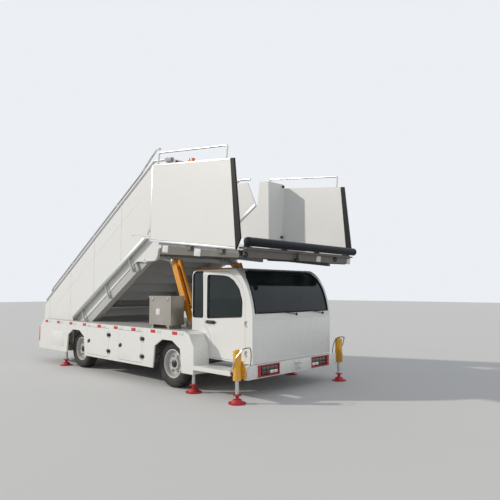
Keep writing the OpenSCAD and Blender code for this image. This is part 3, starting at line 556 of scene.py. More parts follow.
class Shape:
    """A mesh that is put together from boxes, plates, turned parts and pipes."""

    def __init__(self) -> None:
        """Starts empty."""
        self.mesh = bmesh.new()

    def _bevel(self, faces: Iterable[bmesh.types.BMFace], width: float, steps: int = 2) -> None:
        """Rounds every sharp edge of some faces."""
        edges = {e for f in faces for e in f.edges
                 if len(e.link_faces) == 2 and e.calc_face_angle(0) > ROUNDED_FROM}
        if width > 0 and edges:
            bmesh.ops.bevel(self.mesh, geom=list(edges), offset=width, segments=steps,
                            affect="EDGES", profile=0.5, clamp_overlap=True)

    def _extrude(self, ring: list[Vector], along: Vector, bevel: float) -> "Shape":
        """Closes a ring of corners, draws it along a vector and rounds its edges."""
        corners = [self.mesh.verts.new(p) for p in ring]
        face = self.mesh.faces.new(corners)
        drawn = bmesh.ops.extrude_face_region(self.mesh, geom=[face])["geom"]
        moved = [g for g in drawn if isinstance(g, bmesh.types.BMVert)]
        bmesh.ops.translate(self.mesh, vec=along, verts=moved)
        faces = {f for v in corners + moved for f in v.link_faces}
        bmesh.ops.recalc_face_normals(self.mesh, faces=list(faces))
        self._bevel(faces, bevel)
        return self

    def box(self, low: Point, high: Point, bevel: float = 0.002) -> "Shape":
        """Adds a box between two corners, with rounded edges."""
        ring = [Vector((x, y, low[2])) for x, y in
                ((low[0], low[1]), (high[0], low[1]), (high[0], high[1]), (low[0], high[1]))]
        return self._extrude(ring, Vector((0, 0, high[2] - low[2])), bevel)

    def plate(self, outline: Sequence[Flat], y_low: float, y_high: float,
              bevel: float = 0.001) -> "Shape":
        """Adds a plate with an outline in X and Z.

        Args:
            outline: corners in order.
            y_low: one face's Y.
            y_high: the other face's Y.
            bevel: radius of the edges.

        Returns:
            The same shape.
        """
        ring = [Vector((x, y_low, z)) for x, z in outline]
        return self._extrude(ring, Vector((0, y_high - y_low, 0)), bevel)

    def bar(self, outline: Sequence[Flat], x_low: float, x_high: float,
            bevel: float = 0.001) -> "Shape":
        """Adds a bar with an outline in Y and Z.

        Args:
            outline: corners in order.
            x_low: one end's X.
            x_high: the other end's X.
            bevel: radius of the edges.

        Returns:
            The same shape.
        """
        ring = [Vector((x_low, y, z)) for y, z in outline]
        return self._extrude(ring, Vector((x_high - x_low, 0, 0)), bevel)

    def turned(self, profile: Sequence[Flat], middle: Point, axis: Point, steps: int = 32,
               hollow: bool = False) -> "Shape":
        """Adds a turned part.

        Args:
            profile: distance along the axis and radius, from one end to the other.
            middle: where the axis starts.
            axis: direction of the axis.
            steps: faces round it.
            hollow: the profile closes on itself round an open middle.

        Returns:
            The same shape.
        """
        turn = Vector((0, 0, 1)).rotation_difference(Vector(axis)).to_matrix()
        rings: list[list[bmesh.types.BMVert]] = []
        for along, radius in profile:
            count = steps if radius > 1e-5 else 1
            spots = [Vector((radius * math.cos(2 * math.pi * i / count),
                             radius * math.sin(2 * math.pi * i / count), along))
                     for i in range(count)]
            rings.append([self.mesh.verts.new(turn @ p + Vector(middle)) for p in spots])
        faces: list[bmesh.types.BMFace] = []
        pairs = list(zip(rings, rings[1:])) + ([(rings[-1], rings[0])] if hollow else [])
        for low, high in pairs:
            for i in range(steps):
                ring = [low[i % len(low)], low[(i + 1) % len(low)],
                        high[(i + 1) % len(high)], high[i % len(high)]]
                ring = list(dict.fromkeys(ring))
                if len(ring) > 2:
                    faces.append(self.mesh.faces.new(ring))
        for end in (rings[0], rings[-1]):
            if len(end) > 1 and not hollow:
                faces.append(self.mesh.faces.new(end))
        bmesh.ops.recalc_face_normals(self.mesh, faces=faces)
        return self

    def bolt(self, middle: Point, axis: Point, radius: float = 0.009) -> "Shape":
        """Adds a domed hexagon bolt head on a washer."""
        high = radius * 0.75
        self.turned([(0, radius * 1.45), (high * 0.2, radius * 1.45)], middle, axis, 20)
        return self.turned([(0, radius), (high, radius), (high * 1.25, radius * 0.75),
                            (high * 1.3, 0)], middle, axis, 6)

    def pipe(self, points: Sequence[Point], radius: float, steps: int = 12,
             bend: float = 0.0) -> "Shape":
        """Adds a round pipe through some points.

        Args:
            points: the corners of its route.
            radius: the pipe's radius.
            steps: faces round it.
            bend: radius that rounds each corner, or nought for sharp ones.

        Returns:
            The same shape.
        """
        route = rounded([Vector(p) for p in points], bend)
        rings: list[list[bmesh.types.BMVert]] = []
        side = (route[1] - route[0]).orthogonal().normalized()
        for i, spot in enumerate(route):
            before = (spot - route[i - 1]).normalized() if i else None
            after = (route[i + 1] - spot).normalized() if i + 1 < len(route) else None
            way = ((before or after) + (after or before)).normalized()
            side = (side - side.project(way)).normalized()
            other = way.cross(side)
            rings.append([self.mesh.verts.new(
                spot + radius * (math.cos(a) * side + math.sin(a) * other))
                for a in (2 * math.pi * k / steps for k in range(steps))])
        faces = [self.mesh.faces.new((low[k], low[(k + 1) % steps], high[(k + 1) % steps], high[k]))
                 for low, high in zip(rings, rings[1:]) for k in range(steps)]
        faces += [self.mesh.faces.new(end) for end in (rings[0], rings[-1])]
        bmesh.ops.recalc_face_normals(self.mesh, faces=faces)
        return self

    def mirrored(self) -> "Shape":
        """Adds the same shape again on the other side of the vehicle."""
        copy = bmesh.ops.duplicate(self.mesh, geom=self.mesh.faces[:])["geom"]
        verts = [g for g in copy if isinstance(g, bmesh.types.BMVert)]
        for vert in verts:
            vert.co.y = -vert.co.y
        faces = [g for g in copy if isinstance(g, bmesh.types.BMFace)]
        bmesh.ops.reverse_faces(self.mesh, faces=faces)
        return self

    def piece(self, name: str, finish: str, body: str = "chassis", place: Matrix = VEHICLE,
              side: Side = Side.LEFT, slot: str = "") -> bpy.types.Object:
        """Turns the shape into a piece of the model.

        Args:
            name: the piece's name.
            finish: its finish's name.
            body: the body that it rides on.
            place: the local frame that it was drawn in.
            side: RIGHT mirrors a shape that was drawn on the left.
            slot: the record's material slot, where it isn't the finish's own; looked up, but not
                used.

        Returns:
            The new object.
        """
        if side is Side.RIGHT:
            bmesh.ops.transform(self.mesh, matrix=Matrix.Diagonal((1, -1, 1, 1)),
                                verts=self.mesh.verts[:])
            bmesh.ops.reverse_faces(self.mesh, faces=self.mesh.faces[:])
        bmesh.ops.transform(self.mesh, matrix=place, verts=self.mesh.verts[:])
        data = bpy.data.meshes.new(name)
        self.mesh.to_mesh(data)
        self.mesh.free()
        data.materials.append(FINISHES[finish])
        data.shade_smooth()
        data.set_sharp_from_angle(angle=CREASED_FROM)
        made = bpy.data.objects.new(name, data)
        bpy.context.scene.collection.objects.link(made)
        slot = slot or SLOTS[finish]
        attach(made, body)
        log.info("%s rides on %s", name, body)
        return made


def rounded(route: list[Vector], bend: float, steps: int = 5) -> list[Vector]:
    """Rounds the corners of a route.

    Args:
        route: its corners.
        bend: how far from each corner the curve starts.
        steps: points on each curve.

    Returns:
        The new route.
    """
    if bend <= 0:
        return route
    spots = [route[0]]
    for before, corner, after in zip(route, route[1:], route[2:]):
        start = corner + (before - corner).normalized() * min(bend, (before - corner).length / 2)
        end = corner + (after - corner).normalized() * min(bend, (after - corner).length / 2)
        for i in range(steps + 1):
            t = i / steps
            spots.append((1 - t) ** 2 * start + 2 * t * (1 - t) * corner + t * t * end)
    return spots + [route[-1]]


def repaint(node: str, finish: str) -> None:
    """Gives a CAD node its finish."""
    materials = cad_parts[node].data.materials
    materials.clear()
    materials.append(FINISHES[finish])


def repaint_where(node: str, finish: str, test: Callable[[Vector, Vector], bool],
                  place: Matrix = VEHICLE) -> None:
    """Gives some faces of a CAD node a second finish.

    Args:
        node: the node's name.
        finish: the second finish's name.
        test: says yes to a face's middle and normal, in the local frame.
        place: the local frame.
    """
    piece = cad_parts[node]
    piece.data.materials.append(FINISHES[finish])
    local = place.inverted() @ piece.matrix_world
    for face in piece.data.polygons:
        if test(local @ face.center, local.to_3x3() @ face.normal):
            face.material_index = len(piece.data.materials) - 1


def between(table: Sequence[Flat], at: float) -> float:
    """Reads a table of pairs at a value, in straight lines between its rows."""
    for (low, first), (high, second) in zip(table, table[1:]):
        if at <= high:
            return first + (second - first) * max(0.0, at - low) / (high - low)
    return table[-1][1]


@dataclass
class Studio:
    """Camera, floor and light."""

    camera_at: Point = (7.9395, -6.088, 1.532)
    yaw: float = 43.857
    pitch: float = 4.611
    lens: float = 36.0
    sensor: float = 36.0
    reach: float = 400.0
    floor_half: float = 60.0
    sky_strength: Flat = (0.45, 0.9)

    def build(self) -> None:
        """Sets up everything round the object."""
        self._camera()
        self._floor()
        self._world()
        self._lamps()
        bpy.context.scene.view_settings.view_transform = "Standard"

    def _camera(self) -> None:
        """The photograph's viewpoint."""
        data = bpy.data.cameras.new("camera")
        data.lens = self.lens
        data.sensor_width = self.sensor
        data.clip_end = self.reach
        data.dof.use_dof = False
        camera = bpy.data.objects.new("camera", data)
        camera.location = self.camera_at
        camera.rotation_euler = (math.radians(90 + self.pitch), 0, math.radians(self.yaw))
        bpy.context.scene.collection.objects.link(camera)
        bpy.context.scene.camera = camera

    def _floor(self) -> None:
        """A pale floor with a faint variation."""
        sheet = Sheet("floor")
        colour = sheet.blend(sheet.noise(0.5, 4.0) * 0.3, (0.66, 0.66, 0.655), (0.58, 0.58, 0.575))
        sheet.shade({"Base Color": colour, "Roughness": 0.9})
        half = self.floor_half
        data = bpy.data.meshes.new("floor")
        data.from_pydata([(-half, -half, 0), (half, -half, 0), (half, half, 0), (-half, half, 0)],
                         [], [(0, 1, 2, 3)])
        data.materials.append(sheet.material)
        floor = bpy.data.objects.new("floor", data)
        bpy.context.scene.collection.objects.link(floor)

    def _world(self) -> None:
        """A soft pale sky, brighter where the camera or a reflection sees it."""
        world = bpy.data.worlds.new("sky")
        world.use_nodes = True
        bpy.context.scene.world = world
        tree = world.node_tree
        back = tree.nodes["Background"]
        back.inputs["Color"].default_value = (0.93, 0.96, 1.0, 1.0)
        path = tree.nodes.new("ShaderNodeLightPath")
        seen = tree.nodes.new("ShaderNodeMath")
        seen.operation = "MAXIMUM"
        tree.links.new(path.outputs["Is Camera Ray"], seen.inputs[0])
        tree.links.new(path.outputs["Is Glossy Ray"], seen.inputs[1])
        strength = tree.nodes.new("ShaderNodeMapRange")
        strength.inputs["To Min"].default_value = self.sky_strength[0]
        strength.inputs["To Max"].default_value = self.sky_strength[1]
        tree.links.new(seen.outputs[0], strength.inputs["Value"])
        tree.links.new(strength.outputs[0], back.inputs["Strength"])

    def _lamps(self) -> None:
        """A warm low key from the right rear side and a weak cool fill from the front."""
        for name, energy, colour, spread, turn in (
                ("key", 2.1, (1.0, 0.95, 0.87), 2.0, (62.5, 0.0, -46.4)),
                ("fill", 0.35, (0.90, 0.94, 1.0), 40.0, (50.0, 0.0, 70.0))):
            data = bpy.data.lights.new(name, "SUN")
            data.energy = energy
            data.color = colour
            data.angle = math.radians(spread)
            lamp = bpy.data.objects.new(name, data)
            lamp.rotation_euler = tuple(math.radians(a) for a in turn)
            bpy.context.scene.collection.objects.link(lamp)


@dataclass
class Paintwork:
    """The finish of every CAD node that stays in view, as the nodes of each finish."""

    table: dict[str, str] = field(default_factory=lambda: {
        "frame_enamel": "chassis_frame power_unit front_axle rear_axle knuckle_right knuckle_left",
        "deck_enamel": "deck",
        "white_enamel": "skirt_right skirt_left bumper cab_shell locker_door_front_right "
                        "locker_door_rear_right locker_door_front_left locker_door_rear_left "
                        "cab_door_right cab_door_left",
        "bolt_steel": "locker_boxes",
        "lamp_red_enamel": "lamps",
        # the cab's windows take the dark glass that paints the interior's shade
        "dark_glass_painted_shade": "cab_glass door_glass_right door_glass_left",
        "dash_plastic": "dashboard",
        "toolbox_steel": "toolbox",
        "jack_enamel": "jack_bodies",
        "rim_enamel": "rim_front_right rim_front_left rim_rear_right rim_rear_left",
        "jack_steel": "jack_legs_front jack_legs_middle jack_legs_rear",
        "white_panel": "lower_side_panels upper_cheeks platform_walls slide_panel_right "
                       "slide_panel_left",
        "stringer_grey": "lower_steps upper_steps",
        "handrail_steel": "lower_handrails upper_handrails panel_rail_right panel_rail_left",
        "chequer_plate": "platform_floor",
        # the platform frame takes the dark grey that paints the shade under the platform
        "beam_grey_painted_shade": "platform_frame",
        "gasket_rubber": "panel_seal_right panel_seal_left",
        "roll_rubber": "front_roll",
        "orange_enamel": "lift_legs lift_sleeves"})
    tread_half: float = 0.840
    jaw_x: float = 1.600
    jaw_half: float = 0.045
    rod_z: float = -0.113

    def build(self) -> None:
        """Paints the nodes."""
        for finish, nodes in self.table.items():
            for node in nodes.split():
                repaint(node, finish)
        for node, level in (("lower_steps", 0.99), ("upper_steps", 0.98)):
            repaint_where(node, "chequer_plate", lambda spot, facing: (
                facing.z > level and abs(spot.y) < self.tread_half))
        repaint_where("bumper", "cylinder_chrome",
                      lambda spot, facing: spot.x > self.jaw_x and abs(spot.y) < self.jaw_half)
        repaint_where("lift_legs", "cylinder_chrome",
                      lambda spot, facing: spot.z < self.rod_z, STRUT)


@dataclass
class Wheel:
    """A treaded tyre in place of the plain one, with wheel nuts, a hub cap and a rim flange."""

    axle: str
    side: Side
    blocks: int = 64
    groove: float = 0.009
    nut: float = 0.014
    nut_circle: float = 0.130
    nuts: int = 6
    face: float = 0.042

    def build(self) -> None:
        """Builds the pieces of this wheel."""
        name = f"{self.axle}_{self.side.label}"
        low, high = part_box(f"tyre_{name}")
        self.middle = (low + high) / 2
        self.width = high.y - low.y
        self.radius = (high.z - low.z) / 2
        self.bead = (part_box(f"rim_{name}")[1].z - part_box(f"rim_{name}")[0].z) / 2
        place = Matrix.Translation((self.middle.x, 0, self.middle.z))
        self.out = abs(self.middle.y)
        body = f"wheel_{name}"
        tyre = self._tread().piece(f"tread_{name}", "tyre_rubber", body, place=place,
                                   side=self.side)
        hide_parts(f"tyre_{name}")
        self._rim_ring().piece(f"rim_ring_{name}", "trim_aluminium", body, place=place,
                               side=self.side, slot="rim_silver")
        self._nuts().piece(f"nuts_{name}", "bolt_steel", body, place=place, side=self.side)
        self._cap().piece(f"hub_cap_{name}", "black_plastic", body, place=place, side=self.side)

    def _tread(self) -> Shape:
        """The tyre: a round section with ring grooves, and notches across its shoulders."""
        half, top, bead = self.width / 2, self.radius, self.bead
        walls = [(half - 0.022, bead, 0), (half - 0.003, bead + 0.030, 0), (half, bead + 0.075, 0),
                 (half - 0.005, top - 0.030, 0), (half - 0.016, top - 0.012, 1)]
        crown = [(half - 0.030, top - 0.002, 1), (0.054, top, 1), (0.052, top - self.groove, 0),
                 (0.044, top - self.groove, 0), (0.042, top, 0), (0.006, top, 0),
                 (0.004, top - self.groove, 0)]
        right = walls + crown
        left = [(-across, radius, notch) for across, radius, notch in reversed(right)]
        shape = Shape()
        rings: list[list[bmesh.types.BMVert]] = []
        count = self.blocks * 2
        for across, radius, notch in right + left:
            ring = []
            for i in range(count):
                depth = self.groove * 0.8 if notch and i % 2 else 0.0
                angle = 2 * math.pi * i / count
                ring.append(shape.mesh.verts.new(((radius - depth) * math.cos(angle),
                                                  self.out + across,
                                                  (radius - depth) * math.sin(angle))))
            rings.append(ring)
        for low, high in zip(rings, rings[1:] + rings[:1]):
            for i in range(count):
                j = (i + 1) % count
                shape.mesh.faces.new((low[i], low[j], high[j], high[i]))
        bmesh.ops.recalc_face_normals(shape.mesh, faces=shape.mesh.faces[:])
        return shape

    def _rim_ring(self) -> Shape:
        """The bright flange that holds the tyre's bead."""
        start = self.out + self.width / 2 - 0.030
        ring = [(0.0, self.bead - 0.012), (0.0, self.bead + 0.004), (0.008, self.bead + 0.009),
                (0.012, self.bead + 0.004), (0.012, self.bead - 0.010)]
        return Shape().turned(ring, (0, start, 0), (0, 1, 0), 64, hollow=True)

    def _nuts(self) -> Shape:
        """Wheel nuts on their washers."""
        shape = Shape()
        for i in range(self.nuts):
            angle = 2 * math.pi * i / self.nuts
            spot = (self.nut_circle * math.cos(angle), self.out + self.face,
                    self.nut_circle * math.sin(angle))
            shape.bolt(spot, (0, 1, 0), self.nut)
        return shape

    def _cap(self) -> Shape:
        """The grease cap over the hub."""
        dome = [(0.0, 0.062), (0.010, 0.060), (0.018, 0.046), (0.024, 0.022), (0.025, 0.0)]
        return Shape().turned(dome, (0, self.out + self.face + 0.008, 0), (0, 1, 0), 40)


@dataclass
class SkirtTrim:
    """Reflective marks, hinge covers and latches of one side skirt."""

    side: Side
    face: float = 1.250
    mark_xs: tuple[float, ...] = (-4.306, -3.754, -3.201, -2.647, -2.086, -1.511, -0.946, -0.379,
                                  0.194)
    mark_z: float = 0.869
    mark: Flat = (0.130, 0.052)
    mark_gap: float = 0.03
    mark_end: float = 0.40
    reflector_z: Flat = (0.430, 0.740)
    door_fronts: dict[str, float] = field(default_factory=lambda: {"rear": -1.740, "front": -0.680})
    door_backs: dict[str, float] = field(default_factory=lambda: {"rear": -2.510, "front": -1.405})
    hinge_zs: tuple[float, float] = (0.436, 0.726)
    latch_z: float = 0.573
    latch_lean: float = 24.0
    latch_oval: Flat = (0.050, 0.034)

    def build(self) -> None:
        """Builds the trim of this side."""
        name = self.side.label
        for colour, shift in (("red", 0.0), ("white", self.mark[0] + self.mark_gap)):
            self._marks(shift).piece(f"{colour}_marks_{name}", f"tape_{colour}", side=self.side)
        self._tail_reflector().piece(f"tail_reflector_{name}", "tape_red", side=self.side)
        self._hatch().piece(f"tail_hatch_{name}", "white_enamel", side=self.side)
        for door, x in self.door_fronts.items():
            body = f"locker_door_{door}_{name}"
            self._leaves(x + 0.0025, -1).piece(f"hinge_leaves_{door}_{name}", "black_plastic", body,
                                               side=self.side)
            self._leaves(x + 0.0025, 1).piece(f"hinge_plates_{door}_{name}", "black_plastic",
                                              side=self.side)
            self._latch(self.door_backs[door] + 0.056).piece(f"latch_{door}_{name}",
                                                             "black_plastic", body, side=self.side)

    def _marks(self, shift: float) -> Shape:
        """A row of tape marks, moved along by a shift."""
        shape = Shape()
        for x in self.mark_xs:
            if x + shift < self.mark_end:
                low = (x + shift - self.mark[0] / 2, self.face - 0.001,
                       self.mark_z - self.mark[1] / 2)
                high = (low[0] + self.mark[0], self.face + 0.0012, low[2] + self.mark[1])
                shape.box(low, high, 0.0004)
        return shape

    def _tail_reflector(self) -> Shape:
        """The upright red reflector at the tail, bent round the corner."""
        low, high = self.reflector_z
        shape = Shape().box((-4.655, self.face - 0.020, low), (-4.6505, self.face + 0.001, high),
                            0.0006)
        return shape.box((-4.652, self.face - 0.001, low), (-4.612, self.face + 0.0015, high),
                         0.0006)

    def _hatch(self) -> Shape:
        """The flush service hatch behind the rear wheel, with its four screws."""
        shape = Shape().box((-4.040, self.face - 0.001, 0.380), (-3.480, self.face + 0.002, 0.680),
                            0.0015)
        for x in (-4.010, -3.510):
            for z in (0.410, 0.650):
                shape.bolt((x, self.face + 0.001, z), (0, 1, 0), 0.006)
        return shape

    def _leaves(self, x: float, way: int) -> Shape:
        """Half-oval hinge covers, two to a door.

        Args:
            x: the hinge line.
            way: -1 for the door's halves and 1 for the skirt's.

        Returns:
            The shape.
        """
        shape = Shape()
        for z in self.hinge_zs:
            arc = [(x + way * (0.014 + 0.052 * math.sin(a)), z + 0.034 * math.cos(a))
                   for a in (math.pi * i / 14 for i in range(15))]
            shape.plate(arc, self.face - 0.001, self.face + 0.009, 0.003)
            for dz in (-0.014, 0.014):
                shape.bolt((x + way * 0.036, self.face + 0.008, z + dz), (0, 1, 0), 0.0055)
            half, radius = (0.026 if way < 0 else 0.00725), 0.0118
            for dz in ((0.0,) if way < 0 else (-0.034, 0.034)):
                shape.turned([(-half, 0.0), (-half, radius), (half, radius), (half, 0.0)],
                             (x, self.face + 0.016, z + dz), (0, 0, 1), 20)
        return shape

    def _latch(self, x: float) -> Shape:
        """A flush paddle latch in an oval dish, with its key barrel."""
        z, (long, short) = self.latch_z, self.latch_oval
        lean = math.radians(self.latch_lean)
        turn = [(2 * math.pi * i / 28) for i in range(28)]
        oval = [(x + long * math.cos(a) * math.cos(lean) - short * math.sin(a) * math.sin(lean),
                 z + long * math.cos(a) * math.sin(lean) + short * math.sin(a) * math.cos(lean))
                for a in turn]
        shape = Shape().plate(oval, self.face - 0.001, self.face + 0.006, 0.0025)
        shape.box((x - 0.018, self.face + 0.004, z - 0.014),
                  (x + 0.034, self.face + 0.013, z + 0.016), 0.004)
        return shape.turned([(0.0, 0.009), (0.008, 0.009), (0.010, 0.007), (0.010, 0.0)],
                            (x - 0.032, self.face + 0.004, z - 0.008), (0, 1, 0), 20)


@dataclass
class CabTrim:
    """Window gaskets, wipers, roof strip, marker lamps and door furniture of the cab."""

    front_x: float = 1.566
    roof_z: float = 1.885
    screen: tuple[Flat, ...] = ((0.880, 1.205), (0.879, 1.290), (0.878, 1.380), (0.877, 1.470),
                                (0.876, 1.560), (0.866, 1.640), (0.855, 1.715), (0.790, 1.800),
                                (0.700, 1.824))
    door_window: tuple[Flat, ...] = ((1.351, 1.150), (1.359, 1.378), (1.296, 1.554), (1.185, 1.672),
                                     (1.075, 1.730), (0.965, 1.748), (0.640, 1.768), (0.611, 1.745),
                                     (0.605, 1.108))
    quarter_window: tuple[Flat, ...] = ((0.500, 1.112), (0.500, 1.826), (0.330, 1.826),
                                        (0.288, 1.808), (0.266, 1.770), (0.266, 1.112))
    edge: tuple[Flat, ...] = ((1.790, 0.940), (1.842, 0.926), (1.874, 0.884))
    wiper_ys: tuple[Flat, ...] = ((0.05, -0.78), (0.74, -0.02))
    sill_z: float = 1.165
    handle_z: float = 1.048

    def nose_x(self, z: float) -> float:
        """X of the cab's curved front at a height, found by halving."""
        low, high = 0.0, 1.0
        start, bend, end = (self.front_x, 1.197), (1.500, 1.690), (1.197, self.roof_z - 0.022)
        for _ in range(24):
            t = (low + high) / 2
            height = (1 - t) ** 2 * start[1] + 2 * t * (1 - t) * bend[1] + t * t * end[1]
            low, high = (t, high) if height < z else (low, t)
        return (1 - t) ** 2 * start[0] + 2 * t * (1 - t) * bend[0] + t * t * end[0]

    def side_y(self, z: float) -> float:
        """Y of the cab's side at a height: upright, then rounded into the roof."""
        return between(self.edge, z)

    def build(self) -> None:
        """Builds the cab's trim."""
        self._windscreen_gasket().piece("windscreen_gasket", "gasket_rubber")
        self._wipers().piece("wipers", "black_plastic")
        self._front_panel().piece("front_panel", "white_enamel")
        self._roof_strips().piece("roof_strips", "orange_enamel")
        self._markers().piece("roof_markers", "lens_clear")
        self._rear_gasket().piece("rear_gasket", "gasket_rubber")
        for side in Side:
            name = side.label
            self._side_gasket(self.quarter_window).piece(f"quarter_gasket_{name}", "gasket_rubber",
                                                         side=side)
            self._side_gasket(self.door_window).piece(f"door_gasket_{name}", "gasket_rubber",
                                                      f"cab_door_{name}", side=side)
            self._handle().piece(f"door_handle_{name}", "black_plastic", f"cab_door_{name}",
                                 side=side)

    def _windscreen_gasket(self) -> Shape:
        """Rubber round the windscreen, following its curve."""
        side = [(self.nose_x(z), y, z) for y, z in self.screen]
        loop = [(side[0][0], 0.0, side[0][2])] + side
        loop += [(x, -y, z) for x, y, z in reversed(side)] + [(side[0][0], -0.001, side[0][2])]
        return Shape().pipe(loop, 0.013, 10)

    def _side_gasket(self, outline: Sequence[Flat]) -> Shape:
        """Rubber round a side window."""
        spots = [(x, self.side_y(z) + 0.001, z) for x, z in outline]
        middle = tuple((a + b) / 2 for a, b in zip(spots[-1], spots[0]))
        return Shape().pipe([middle, *spots, middle], 0.008, 8, 0.03)

    def _rear_gasket(self) -> Shape:
        """Rubber round the rear window."""
        x, half, low, high = 0.238, 0.600, 1.150, 1.700
        loop = [(x, 0.0, low), (x, half, low), (x, half, high), (x, -half, high),
                (x, -half, low), (x, 0.0, low)]
        return Shape().pipe(loop, 0.010, 8, 0.04)

    def _wipers(self) -> Shape:
        """Two wipers that lie along the windscreen's sill, each with its spindle, arm and blade."""
        shape = Shape()
        for pivot, tip in self.wiper_ys:
            x, z = self.front_x + 0.016, self.sill_z
            shape.turned([(0.0, 0.022), (0.012, 0.022), (0.020, 0.014), (0.020, 0.0)],
                         (self.front_x - 0.004, pivot, z), (1, 0, 0), 20)
            middle = pivot + (tip - pivot) * 0.52
            shape.pipe([(x, pivot, z), (x + 0.004, pivot - 0.10, z + 0.010),
                        (x + 0.002, middle, z + 0.052)], 0.006, 8, 0.05)
            ends = [(x - 0.010, pivot - 0.06, z + 0.052), (x - 0.004, middle, z + 0.058),
                    (x - 0.010, tip, z + 0.052)]
            shape.pipe(ends, 0.0100, 8, 0.2)
            shape.box((x - 0.026, tip, z + 0.030), (x - 0.008, pivot - 0.06, z + 0.056), 0.001)
            shape.bolt((x + 0.002, pivot, z), (1, 0, 0), 0.008)
        return shape

    def _front_panel(self) -> Shape:
        """The pressed front panel under the windscreen, which leaves a crease above it."""
        low = (self.front_x - 0.002, -0.915, 0.515)
        return Shape().box(low, (self.front_x + 0.003, 0.915, 1.098), 0.0028)

    def _roof_strips(self) -> Shape:
        """Painted strips along both roof edges."""
        strip = [(0.890, 1.864), (0.922, 1.840), (0.929, 1.848), (0.897, 1.873)]
        return Shape().bar(strip, 0.300, 1.100, 0.002).mirrored()

    def _markers(self) -> Shape:
        """Small marker lamps at the front ends of the roof strips."""
        dome = [(0.0, 0.020), (0.012, 0.019), (0.022, 0.012), (0.026, 0.0)]
        return Shape().turned(dome, (1.135, 0.895, 1.842), (0, 0, 1), 20).mirrored()

    def _handle(self) -> Shape:
        """A door's pull handle over its dish, with the key barrel."""
        shape = Shape().box((0.580, 0.9385, 1.022), (0.780, 0.9425, 1.074), 0.002)
        z = self.handle_z
        shape.pipe([(0.592, 0.940, z), (0.600, 0.971, z), (0.752, 0.971, z), (0.764, 0.940, z)],
                   0.0125, 10, 0.02)
        return shape.turned([(0.0, 0.012), (0.006, 0.012), (0.006, 0.0)], (0.800, 0.939, z),
                            (0, 1, 0), 20)


@dataclass
class BumperTrim:
    """Lenses, recess linings and cover plates of the bumper."""

    face: float = 1.592
    low_z: float = 0.293
    lamp: Flat = (0.390, 0.858)
    rows: Flat = (0.361, 0.419)
    lens: Flat = (0.039, 0.024)
    lens_pitch: float = 0.088

    def build(self) -> None:
        """Builds the bumper's trim."""
        self._lining().piece("lamp_linings", "black_plastic")
        for name, finish, row, columns in (
                ("upper_lenses", "lens_smoked", 1, (0, 1, 2, 3)),
                ("lower_lenses", "lens_clear", 0, (0, 1)),
                ("amber_lenses", "lens_amber", 0, (2, 3))):
            shape = Shape()
            for column in columns:
                self._lens(shape, row, column)
            shape.mirrored().piece(name, finish, slot="lamp_red")
        self._plates().piece("bumper_plates", "white_enamel")
        self._screws().piece("bumper_screws", "bolt_steel")

    def _lining(self) -> Shape:
        """Black backs of both lamp recesses."""
        low = (self.face - 0.0222, self.lamp[0] + 0.0185, self.low_z + 0.0325)
        return Shape().box(low, (self.face - 0.020, self.lamp[1] - 0.0605, 0.486 - 0.0325),
                           0.0005).mirrored()

    def _lens(self, shape: Shape, row: int, column: int) -> None:
        """Adds one square-cornered lens in its bezel."""
        y = self.lamp[0] + 0.070 + column * self.lens_pitch
        z = self.rows[row]
        half, rise = self.lens
        shape.box((self.face - 0.021, y - half, z - rise),
                  (self.face - 0.0015, y + half, z + rise), 0.006)

    def _plates(self) -> Shape:
        """The two end plates and the middle plate."""
        shape = Shape()
        for low_y, high_y in ((0.872, 1.066), (0.068, 0.380)):
            shape.box((self.face - 0.001, low_y, self.low_z + 0.010),
                      (self.face + 0.003, high_y, 0.476), 0.002)
        return shape.mirrored()

    def _screws(self) -> Shape:
        """Screws in the corners of the plates."""
        shape = Shape()
        for y in (0.886, 1.052, 0.082, 0.366):
            for z in (0.318, 0.461):
                shape.bolt((self.face + 0.002, y, z), (1, 0, 0), 0.006)
        return shape.mirrored()


